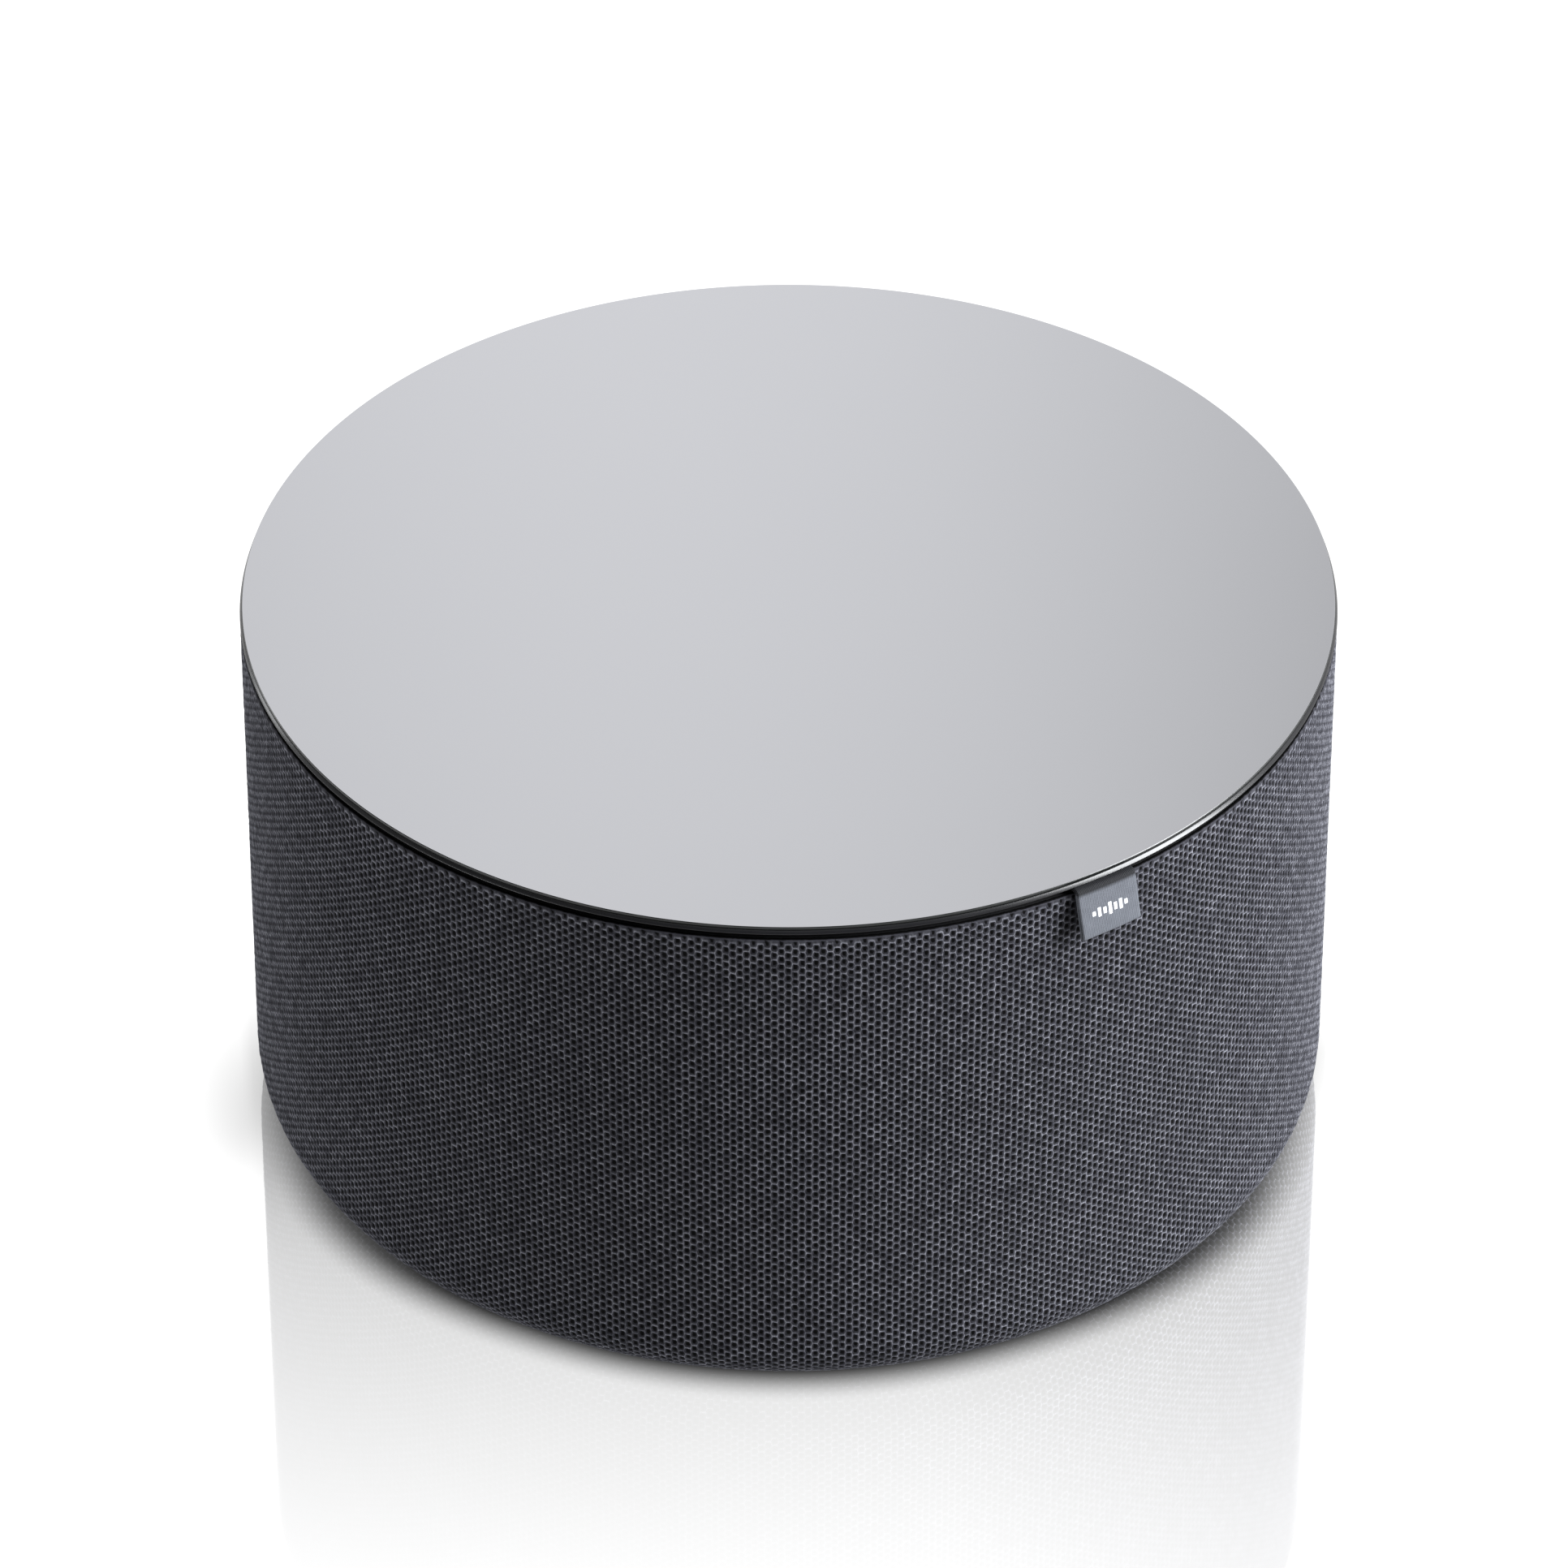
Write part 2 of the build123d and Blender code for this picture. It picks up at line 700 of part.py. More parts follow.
spider_inner = coil_former_r + woofer_gap
spider_t = 0.5
roll_pitch = 4.2
with BuildPart() as woofer_spider:
    with BuildSketch(woofer_section):
        crests = [spider_inner + 1.6 + roll_pitch / 2 * k for k in range(6)]
        heights = [0.0, 0.7, -0.3, 0.7, -0.3, 0.7]
        line_top = [(spider_inner, spider_seat_z)]
        line_top += [(r, spider_seat_z + h) for r, h in zip(crests, heights)]
        line_top += [(28.2, spider_seat_z), (31.5, spider_seat_z)]
        line_bottom = [(r, z - spider_t) for r, z in reversed(line_top)]
        with BuildLine():
            Polyline(*line_top, *line_bottom, close=True)
        make_face()
    revolve(axis=woofer_axis)
finish(woofer_spider, "woofer_spider")

cone_t = 0.6
cone_neck_t = 0.7
cone_lip = 1.4
with BuildPart() as woofer_cone:
    with BuildSketch(woofer_section):
        with BuildLine():
            Polyline(
                (coil_former_r, neck_z),
                (rim_r - cone_lip + 0.2, rim_z + cone_t),
                (rim_r, rim_z + cone_t),
                (rim_r, rim_z),
                (rim_r - cone_lip, rim_z),
                (coil_former_r, neck_z - cone_neck_t),
                close=True,
            )
        make_face()
    revolve(axis=woofer_axis)
finish(woofer_cone, "woofer_cone")

cap_r = 15.0
cap_t = 0.5
cap_rise = -3.9
cone_slope = (neck_z - cone_neck_t - rim_z) / (rim_r - cone_lip - coil_former_r)
cap_rim_z = neck_z - cone_neck_t - (cap_r - coil_former_r) * cone_slope
with BuildPart() as woofer_dust_cap:
    with BuildSketch(woofer_section):
        with BuildLine():
            dome_arc(cap_r, cap_rim_z, cap_rise)
            Line((0, cap_rim_z + cap_rise), (0, cap_rim_z + cap_rise + cap_t))
            dome_arc(cap_r - 1, cap_rim_z, cap_rise + cap_t)
            Line((cap_r - 1, cap_rim_z), (cap_r, cap_rim_z))
        make_face()
    revolve(axis=woofer_axis)
finish(woofer_dust_cap, "woofer_dust_cap")

with BuildPart() as woofer_surround:
    with BuildSketch(woofer_section):
        half_roll(rim_r + woofer_gap, 38.2, 44.2, 46.6, flange_z, 0.6, -1)
    revolve(axis=woofer_axis)
finish(woofer_surround, "woofer_surround")

# ---- Full-range drivers and passive radiators, one of each at the left and the right ---------
face = box_apothem
rim_s = face + 2.0
frame_s = face + 2.5
fullrange_flange_r = 24.0
fullrange_mouth_r = 19.6
fullrange_back_s = face - 14.0
fullrange_magnet_r = 13.0
fullrange_magnet_depth = 12.0
fullrange_circle = 22.2
gap_inner_r = 6.0
gap_outer_r = 7.2
radiator_frame_r = 30.0
radiator_mouth_r = 26.5
radiator_circle = 28.6
radiator_plate_r = 20.0
radiator_weight_r = 10.0
for side, sign in driver_sites:
    turn = sign * fullrange_angle
    section = facet_section(turn, fullrange_z)
    axis = facet_axis(turn, fullrange_z)

    with BuildPart() as fullrange_basket:
        with BuildSketch(section):
            with BuildLine():
                Polyline(
                    (fullrange_flange_r, face),
                    (fullrange_flange_r, rim_s),
                    (fullrange_mouth_r, rim_s),
                    (fullrange_mouth_r, face + 0.2),
                    (12.4, fullrange_back_s + 1.5),
                    (gap_outer_r + 0.2, fullrange_back_s + 1.5),
                    (gap_outer_r + 0.2, fullrange_back_s),
                    (13.5, fullrange_back_s),
                    (13.5, fullrange_back_s + 2),
                    (fullrange_mouth_r + 1.6, face - 0.2),
                    (fullrange_mouth_r + 1.6, face),
                    close=True,
                )
            make_face()
        revolve(axis=axis)
        with BuildSketch(facet_plane(turn, fullrange_z, face - 1)):
            with PolarLocations(fullrange_circle, 4, start_angle=45):
                Circle(1.05)
        extrude(amount=5, mode=Mode.SUBTRACT)
    finish(fullrange_basket, f"fullrange_basket_{side}")

    with BuildPart() as fullrange_motor:
        with BuildSketch(section):
            with BuildLine():
                Polyline(
                    (0, fullrange_back_s - fullrange_magnet_depth),
                    (fullrange_magnet_r, fullrange_back_s - fullrange_magnet_depth),
                    (fullrange_magnet_r, fullrange_back_s),
                    (gap_outer_r, fullrange_back_s),
                    (gap_outer_r, face - 23.5),
                    (gap_inner_r, face - 23.5),
                    (gap_inner_r, fullrange_back_s),
                    (0, fullrange_back_s),
                    close=True,
                )
            make_face()
        revolve(axis=axis)
    finish(fullrange_motor, f"fullrange_motor_{side}")

    with BuildPart() as fullrange_cone:
        with BuildSketch(section):
            with BuildLine():
                Polyline(
                    (6.4, face - 4.9),
                    (6.4, face - 19),
                    (6.6, face - 19),
                    (6.6, face - 5.4),
                    (15.0, rim_s),
                    (16.0, rim_s),
                    (16.0, rim_s + 0.4),
                    (14.8, rim_s + 0.4),
                    (7.0, face - 4.2),
                )
                dome_arc(7.0, face - 4.2, 2.4)
                Line((0, face - 1.8), (0, face - 2.3))
                dome_arc(6.4, face - 4.9, 2.6)
            make_face()
        revolve(axis=axis)
    finish(fullrange_cone, f"fullrange_cone_{side}")

    with BuildPart() as fullrange_surround:
        with BuildSketch(section):
            half_roll(16.0 + woofer_gap, 16.7, 19.5, 20.4, rim_s, 0.4, 1)
        revolve(axis=axis)
    finish(fullrange_surround, f"fullrange_surround_{side}")

    turn = sign * radiator_angle
    section = facet_section(turn, radiator_z)
    axis = facet_axis(turn, radiator_z)

    with BuildPart() as radiator_frame:
        with BuildSketch(facet_plane(turn, radiator_z, face)):
            Circle(radiator_frame_r)
            Circle(radiator_mouth_r, mode=Mode.SUBTRACT)
            with PolarLocations(radiator_circle, 4, start_angle=45):
                Circle(0.9, mode=Mode.SUBTRACT)
        extrude(amount=frame_s - face)
    finish(radiator_frame, f"radiator_frame_{side}")

    with BuildPart() as radiator_plate:
        with BuildSketch(facet_plane(turn, radiator_z, frame_s)):
            Circle(radiator_plate_r)
        extrude(amount=0.8)
        with BuildSketch(facet_plane(turn, radiator_z, frame_s)):
            Circle(radiator_weight_r)
        extrude(amount=-8)
        outer_rim = radiator_plate.edges().filter_by(GeomType.CIRCLE).group_by(SortBy.RADIUS)[-1]
        chamfer(outer_rim.sort_by(axis)[-1], length=0.3)
    finish(radiator_plate, f"radiator_plate_{side}")

    with BuildPart() as radiator_surround:
        with BuildSketch(section):
            half_roll(radiator_plate_r + woofer_gap, 20.8, 25.6, 27.1, frame_s, 0.5, 1)
        revolve(axis=axis)
    finish(radiator_surround, f"radiator_surround_{side}")


def small_screw(plane, circle_r, shaft_r, head, shaft_length):
    """Four pan-head screws whose heads stand out of the plane along its normal."""
    with BuildSketch(plane) as heads:
        with PolarLocations(circle_r, 4, start_angle=45):
            Circle(head)
    extrude(heads.sketch, amount=1.0)
    with BuildSketch(plane) as shafts:
        with PolarLocations(circle_r, 4, start_angle=45):
            Circle(shaft_r)
    extrude(shafts.sketch, amount=-shaft_length)


# ---- Electronics -----------------------------------------------------------------------------
board_face_y = main_board_y + board_t
processor_place = (-12, 88)
radio_place = (40, 86)
with BuildPart() as main_board:
    with Locations((0, main_board_y + board_t / 2, 71)):
        Box(120, board_t, 54)
finish(main_board, "main_board")

chip_places = [
    (processor_place, (24, 12), 1.6),
    (radio_place, (12, 12), 1.4),
    ((-46, 86), (9, 9), 1.0),
    ((-46, 66), (12, 7), 1.2),
    ((46, 62), (10, 10), 1.2),
]
with BuildPart() as main_board_chips:
    for (x, z), (width, height), depth in chip_places:
        with Locations((x, board_face_y + depth / 2, z)):
            Box(width, depth, height)
finish(main_board_chips, "main_board_chips")

can_depth = 3.5
can_wall = 0.3
with BuildPart() as shield_can:
    with Locations((radio_place[0], board_face_y + can_depth / 2, radio_place[1])):
        Box(26, can_depth, 20)
        with Locations((0, -can_wall / 2, 0)):
            Box(26 - 2 * can_wall, can_depth - can_wall, 20 - 2 * can_wall, mode=Mode.SUBTRACT)
finish(shield_can, "shield_can")

sink_y = board_face_y + 1.6
sink_plate_t = 2.5
sink_height = 18.0
fin_depth = 14.0
fin_pitch = 4.2
with BuildPart() as heat_sink:
    with Locations((processor_place[0], sink_y + sink_plate_t / 2, processor_place[1])):
        Box(36, sink_plate_t, sink_height)
    with Locations((processor_place[0], sink_y + 2 + fin_depth / 2, processor_place[1])):
        with GridLocations(fin_pitch, 1, 9, 1):
            Box(1.1, fin_depth, sink_height)
finish(heat_sink, "heat_sink")

with BuildPart() as psu_board:
    with Locations((0, 79, psu_board_z + board_t / 2)):
        Box(84, 30, board_t)
finish(psu_board, "psu_board")

psu_top = psu_board_z + board_t
transformer_x = -14.0
transformer_y = 80.0
with BuildPart() as psu_transformer:
    with Locations((transformer_x, transformer_y, psu_top + 1)):
        Box(24, 22, 2)
    with Locations((transformer_x, transformer_y, psu_top + 10)):
        Box(26, 14, 16)
        Box(18, 20, 12)
finish(psu_transformer, "psu_transformer")

with BuildPart() as psu_capacitors:
    with BuildSketch(Plane.XY.offset(psu_top)):
        with Locations((14, 82), (31, 80)):
            Circle(7.5)
    extrude(amount=24)
    with BuildSketch(Plane.XY.offset(psu_top)):
        with Locations((-36, 74), (-36, 85)):
            Circle(4)
    extrude(amount=14)
    fillet(psu_capacitors.edges().filter_by(GeomType.CIRCLE).group_by(Axis.Z)[-1], radius=0.8)
finish(psu_capacitors, "psu_capacitors")

with BuildPart() as wifi_antennas:
    with Locations((-70, box_back_y + 0.5, 78), (70, box_back_y + 0.5, 78)):
        Box(12, 1, 40)
finish(wifi_antennas, "wifi_antennas")

io_board_y = 78.2
with BuildPart() as io_board:
    with Locations((0, io_board_y, io_board_z + board_t / 2)):
        Box(70, 32.4, board_t)
finish(io_board, "io_board")

ribbon_foot_y = 64.5
with BuildPart() as io_ribbon_cable:
    with BuildSketch(Plane.YZ):
        with BuildLine():
            FilletPolyline(
                (ribbon_foot_y, io_board_z + board_t),
                (ribbon_foot_y, 30),
                (board_face_y + 0.3, 40),
                (board_face_y + 0.3, 54),
                radius=12,
            )
        trace(line_width=0.6)
    extrude(amount=9, both=True)
finish(io_ribbon_cable, "io_ribbon_cable")

with BuildPart() as touch_ribbon_cable:
    with BuildSketch(Plane.YZ):
        with BuildLine():
            FilletPolyline(
                (main_board_y - 0.15, 90),
                (main_board_y - 0.15, 103),
                (ribbon_slot_y, 108),
                (ribbon_slot_y, frame_top),
                radius=(4, 4),
            )
        trace(line_width=0.3)
    extrude(amount=6, both=True)
finish(touch_ribbon_cable, "touch_ribbon_cable")

cable_route = [
    (cable_hole[0], main_board_y, cable_hole[1]),
    (cable_hole[0], 44, cable_hole[1]),
    (-29, 26, 68),
    (-35, 8, 63),
    (terminal_x, -9, 57),
    (terminal_x, woofer_y, 50),
    (terminal_x, woofer_y, terminal_z + 5.5),
]
with BuildPart() as woofer_cable:
    with BuildLine() as cable_line:
        FilletPolyline(*cable_route, radius=8)
    with BuildSketch(Plane(origin=cable_route[0], z_dir=(0, -1, 0))):
        Circle(1.2)
    sweep(path=cable_line.line)
finish(woofer_cable, "woofer_cable")

with BuildPart() as driver_screws:
    flange_face = Plane(origin=(0, woofer_y, flange_z), x_dir=(1, 0, 0), z_dir=(0, 0, -1))
    small_screw(flange_face, screw_circle, screw_r, 2.4, 2.4)
    for side, sign in driver_sites:
        turn = sign * fullrange_angle
        small_screw(facet_plane(turn, fullrange_z, rim_s), fullrange_circle, 1.0, 1.6, 2.0)
        turn = sign * radiator_angle
        small_screw(facet_plane(turn, radiator_z, frame_s), radiator_circle, 0.85, 1.3, 2.5)
finish(driver_screws, "driver_screws")

# ---- Port bay ----------------------------------------------------------------------------------
inlet_x = 21.0
ethernet_x = -1.0
usb_x = -17.0
button_x = -28.5
inlet_width = 22.0
inlet_height = 11.0
jack_width = 16.0
jack_height = 13.4
jack_z = io_board_z + board_t + jack_height / 2
usb_width = 9.0
usb_height = 3.4
button_r = 2.92
panel_clear = 0.3
bay_wall = 1.8
button_clear = 0.08
with BuildPart() as port_panel:
    with BuildSketch(bay_plane.offset(-2)):
        with Locations((0, bay_z)):
            RectangleRounded(bay_width + 2 * bay_lip, bay_height + 2 * bay_lip, bay_corner_r + bay_lip)
    extrude(amount=-bay_reach)
    Cylinder(shell_r, 2 * total_height, mode=Mode.SUBTRACT)
    with BuildSketch(bay_plane.offset(bay_floor_t)):
        with Locations((0, bay_z)):
            RectangleRounded(
                bay_width - 2 * panel_clear, bay_height - 2 * panel_clear, bay_corner_r - panel_clear
            )
    extrude(amount=-bay_reach)
    Cylinder(body_r, 2 * total_height, mode=Mode.INTERSECT)
    with BuildSketch(bay_plane):
        with Locations((0, bay_z)):
            RectangleRounded(bay_width - 2 * bay_wall, bay_height - 2 * bay_wall, bay_corner_r - bay_wall)
    extrude(amount=-bay_reach, mode=Mode.SUBTRACT)
    with BuildSketch(bay_plane.offset(bay_floor_t)):
        with Locations((inlet_x, bay_z)):
            Rectangle(inlet_width + 2 * socket_gap, inlet_height + 2 * socket_gap)
        with Locations((ethernet_x, jack_z)):
            Rectangle(jack_width + 2 * socket_gap, jack_height + 2 * socket_gap)
        with Locations((usb_x, bay_z)):
            SlotOverall(usb_width + 2 * socket_gap, usb_height + 2 * socket_gap)
        with Locations((button_x, bay_z)):
            Circle(button_r + button_clear)
    extrude(amount=-bay_floor_t, mode=Mode.SUBTRACT)
finish(port_panel, "port_panel")

inlet_depth = 11.5
inlet_body_depth = 17.0
pin_r = 1.2
pin_clear = 0.03
pin_pitch = 8.6
pin_tip_y = bay_floor_y - 2.5
pin_places = [(inlet_x - pin_pitch / 2, bay_z), (inlet_x + pin_pitch / 2, bay_z)]
with BuildPart() as power_inlet:
    with BuildSketch(bay_plane):
        with Locations((inlet_x, bay_z)):
            Rectangle(inlet_width, inlet_height)
    extrude(amount=bay_floor_t + 1)
    with BuildSketch(bay_plane.offset(bay_floor_t)):
        with Locations((inlet_x, bay_z)):
            Rectangle(inlet_width + 3, inlet_height + 3.8)
    extrude(amount=inlet_body_depth)
    with BuildSketch(bay_plane):
        with Locations((inlet_x, bay_z)):
            SlotOverall(16.4, 8.8)
    extrude(amount=inlet_depth, mode=Mode.SUBTRACT)
    with BuildSketch(bay_plane):
        with Locations(*pin_places):
            Circle(pin_r + pin_clear)
    extrude(amount=30, mode=Mode.SUBTRACT)
finish(power_inlet, "power_inlet")

with BuildPart() as inlet_pins:
    with BuildSketch(Plane.XZ.offset(-pin_tip_y)):
        with Locations(*pin_places):
            Circle(pin_r)
    extrude(amount=19)
    fillet(inlet_pins.faces().group_by(Axis.Y)[-1].edges(), radius=0.7)
finish(inlet_pins, "inlet_pins")

jack_open_width = 11.9
jack_open_height = 8.0
jack_open_z = jack_z + 0.6
jack_open_bottom = jack_open_z - jack_open_height / 2
contact_pitch = 1.02
with BuildPart() as ethernet_jack:
    with BuildSketch(bay_plane):
        with Locations((ethernet_x, jack_z)):
            Rectangle(jack_width, jack_height)
    extrude(amount=18)
    with BuildSketch(bay_plane):
        with Locations((ethernet_x, jack_open_z)):
            Rectangle(jack_open_width, jack_open_height)
        with Locations((ethernet_x, jack_open_bottom - 0.8)):
            Rectangle(6.4, 1.8)
        with Locations((ethernet_x, jack_open_bottom - 2.0)):
            Rectangle(4.0, 1.2)
    extrude(amount=13, mode=Mode.SUBTRACT)
finish(ethernet_jack, "ethernet_jack")

with BuildPart() as ethernet_contacts:
    with Locations((ethernet_x, bay_floor_y - 8.5, jack_open_z + jack_open_height / 2 - 0.3)):
        with GridLocations(contact_pitch, 1, 8, 1):
            Box(0.5, 9, 0.6)
finish(ethernet_contacts, "ethernet_contacts")

usb_wall = 0.35
io_board_top = io_board_z + board_t
with BuildPart() as usb_c_port:
    with BuildSketch(bay_plane):
        with Locations((usb_x, bay_z)):
            SlotOverall(usb_width, usb_height)
            SlotOverall(usb_width - 2 * usb_wall, usb_height - 2 * usb_wall, mode=Mode.SUBTRACT)
    extrude(amount=7)
    with BuildSketch(bay_plane.offset(6)):
        with Locations((usb_x, bay_z)):
            SlotOverall(usb_width, usb_height)
    extrude(amount=2)
    with BuildSketch(bay_plane.offset(1)):
        with Locations((usb_x, bay_z)):
            Rectangle(6.6, 0.8)
    extrude(amount=5.5)
    with Locations((usb_x, bay_floor_y - 5, (io_board_top + bay_z) / 2 - 0.8)):
        Box(7.5, 4, bay_z - io_board_top - 1.6)
finish(usb_c_port, "usb_c_port")

button_travel = 0.8
button_stem_end = bay_floor_t + 3.1
with BuildPart() as setup_button:
    with BuildSketch(bay_plane.offset(-1)):
        with Locations((button_x, bay_z)):
            Circle(button_r)
    extrude(amount=4.1)
    fillet(setup_button.faces().sort_by(Axis.Y)[-1].edges(), radius=0.4)
    with BuildSketch(bay_plane.offset(bay_floor_t + 0.1)):
        with Locations((button_x, bay_z)):
            Circle(4)
    extrude(amount=1)
    with BuildSketch(bay_plane.offset(bay_floor_t + 1)):
        with Locations((button_x, bay_z)):
            Circle(1.5)
    extrude(amount=2.1)
finish(setup_button, "setup_button")

switch_face_y = bay_floor_y - button_stem_end - button_travel - 0.1
switch_top = bay_z + 3
with BuildPart() as setup_switch:
    with Locations((button_x, switch_face_y - 2.5, (io_board_top + switch_top) / 2)):
        Box(7, 4, switch_top - io_board_top)
    with BuildSketch(Plane.XZ.offset(-switch_face_y)):
        with Locations((button_x, bay_z)):
            Circle(1.6)
    extrude(amount=1)
finish(setup_switch, "setup_switch")
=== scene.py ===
import json
import math

import bpy
import numpy as np
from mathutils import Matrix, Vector


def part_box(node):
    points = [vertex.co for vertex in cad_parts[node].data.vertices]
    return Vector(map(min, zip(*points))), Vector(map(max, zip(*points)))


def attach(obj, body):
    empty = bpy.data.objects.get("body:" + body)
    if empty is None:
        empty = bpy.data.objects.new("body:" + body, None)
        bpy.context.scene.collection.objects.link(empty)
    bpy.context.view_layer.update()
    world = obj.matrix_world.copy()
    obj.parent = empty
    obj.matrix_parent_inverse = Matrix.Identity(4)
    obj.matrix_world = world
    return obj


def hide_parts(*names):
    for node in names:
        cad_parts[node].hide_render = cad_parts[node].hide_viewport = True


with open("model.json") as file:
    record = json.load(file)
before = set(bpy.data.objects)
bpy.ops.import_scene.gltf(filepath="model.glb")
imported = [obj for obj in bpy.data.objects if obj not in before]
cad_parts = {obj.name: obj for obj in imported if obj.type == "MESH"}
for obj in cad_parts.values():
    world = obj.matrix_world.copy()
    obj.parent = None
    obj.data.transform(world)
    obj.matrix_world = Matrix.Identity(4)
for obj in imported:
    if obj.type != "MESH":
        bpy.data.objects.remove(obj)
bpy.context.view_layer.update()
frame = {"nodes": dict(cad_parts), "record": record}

nodes = frame["nodes"]
MM = 0.001
rng = np.random.RandomState(20)

# ---- Places, read from the frame -----------------------------------------------------------
glass_low, glass_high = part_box("glass_top_plate")
trim_low, trim_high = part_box("top_trim_ring")
sleeve_low, sleeve_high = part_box("fabric_sleeve")
panel_low, panel_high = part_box("port_panel")

BODY_R = sleeve_high.x
GLASS_R = glass_high.x + 0.05 * MM  # fills most of the seat's clearance
TOP_Z = glass_high.z
GLASS_T = glass_high.z - glass_low.z
CROWN_Z = sleeve_high.z - 0.3 * MM  # the crest of the cloth, just under the sleeve's end
HEM_Z = sleeve_low.z
CORNER_R = 10.5 * MM  # the roll at the sleeve's foot
NECK_R = 108.3 * MM  # the black wall behind the gap


# ---- Mesh helpers --------------------------------------------------------------------------
def mesh_object(name, verts, faces):
    mesh = bpy.data.meshes.new(name)
    mesh.from_pydata([tuple(v) for v in verts], [], [tuple(f) for f in faces])
    mesh.validate()
    mesh.polygons.foreach_set("use_smooth", [True] * len(mesh.polygons))
    obj = bpy.data.objects.new(name, mesh)
    bpy.context.scene.collection.objects.link(obj)
    return obj


def revolved(name, section, steps, closed=True, finish_of=None):
    """A ring from a closed section of (radius, height) points, or a disc where it reaches the axis.
    finish_of gives the material number of a run of the section from its middle point."""
    angles = np.arange(steps) * 2 * math.pi / steps
    verts, rows = [], []
    for r, z in section:
        if r < 1e-9:
            rows.append([len(verts)])
            verts.append((0, 0, z))
        else:
            rows.append(list(range(len(verts), len(verts) + steps)))
            verts += [(r * math.sin(a), -r * math.cos(a), z) for a in angles]
    faces, finishes = [], []
    ends = section[1:] + ([section[0]] if closed else [])
    pairs = list(zip(rows, rows[1:] + ([rows[0]] if closed else [])))
    for (a, b), start, end in zip(pairs, section, ends):
        if len(a) == 1 and len(b) == 1:
            continue
        middle = ((start[0] + end[0]) / 2, (start[1] + end[1]) / 2)
        finishes += [finish_of(*middle) if finish_of else 0] * steps
        for k in range(steps):
            n = (k + 1) % steps
            if len(a) == 1:
                faces.append((a[0], b[k], b[n]))
            elif len(b) == 1:
                faces.append((a[k], b[0], a[n]))
            else:
                faces.append((a[k], b[k], b[n], a[n]))
    obj = mesh_object(name, verts, faces)
    obj.data.polygons.foreach_set("material_index", finishes)
    return obj


def rounded(points, radii, steps):
    """Corners of a closed section cut to arcs of so many steps each."""
    out = []
    count = len(points)
    for i, (p, r) in enumerate(zip(points, radii)):
        p = np.array(p, float)
        if r <= 0:
            out.append(tuple(p))
            continue
        before = np.array(points[i - 1], float) - p
        after = np.array(points[(i + 1) % count], float) - p
        before /= np.linalg.norm(before)
        after /= np.linalg.norm(after)
        half = math.acos(np.clip(before @ after, -1, 1)) / 2
        reach = r / math.tan(half)
        middle = (before + after) / np.linalg.norm(before + after) * r / math.sin(half) + p
        start, end = p + before * reach - middle, p + after * reach - middle
        sweep = math.pi - 2 * half
        for k in range(steps + 1):
            t = k / steps
            w0 = math.sin((1 - t) * sweep) / math.sin(sweep)
            w1 = math.sin(t * sweep) / math.sin(sweep)
            out.append(tuple(middle + start * w0 + end * w1))
    return out


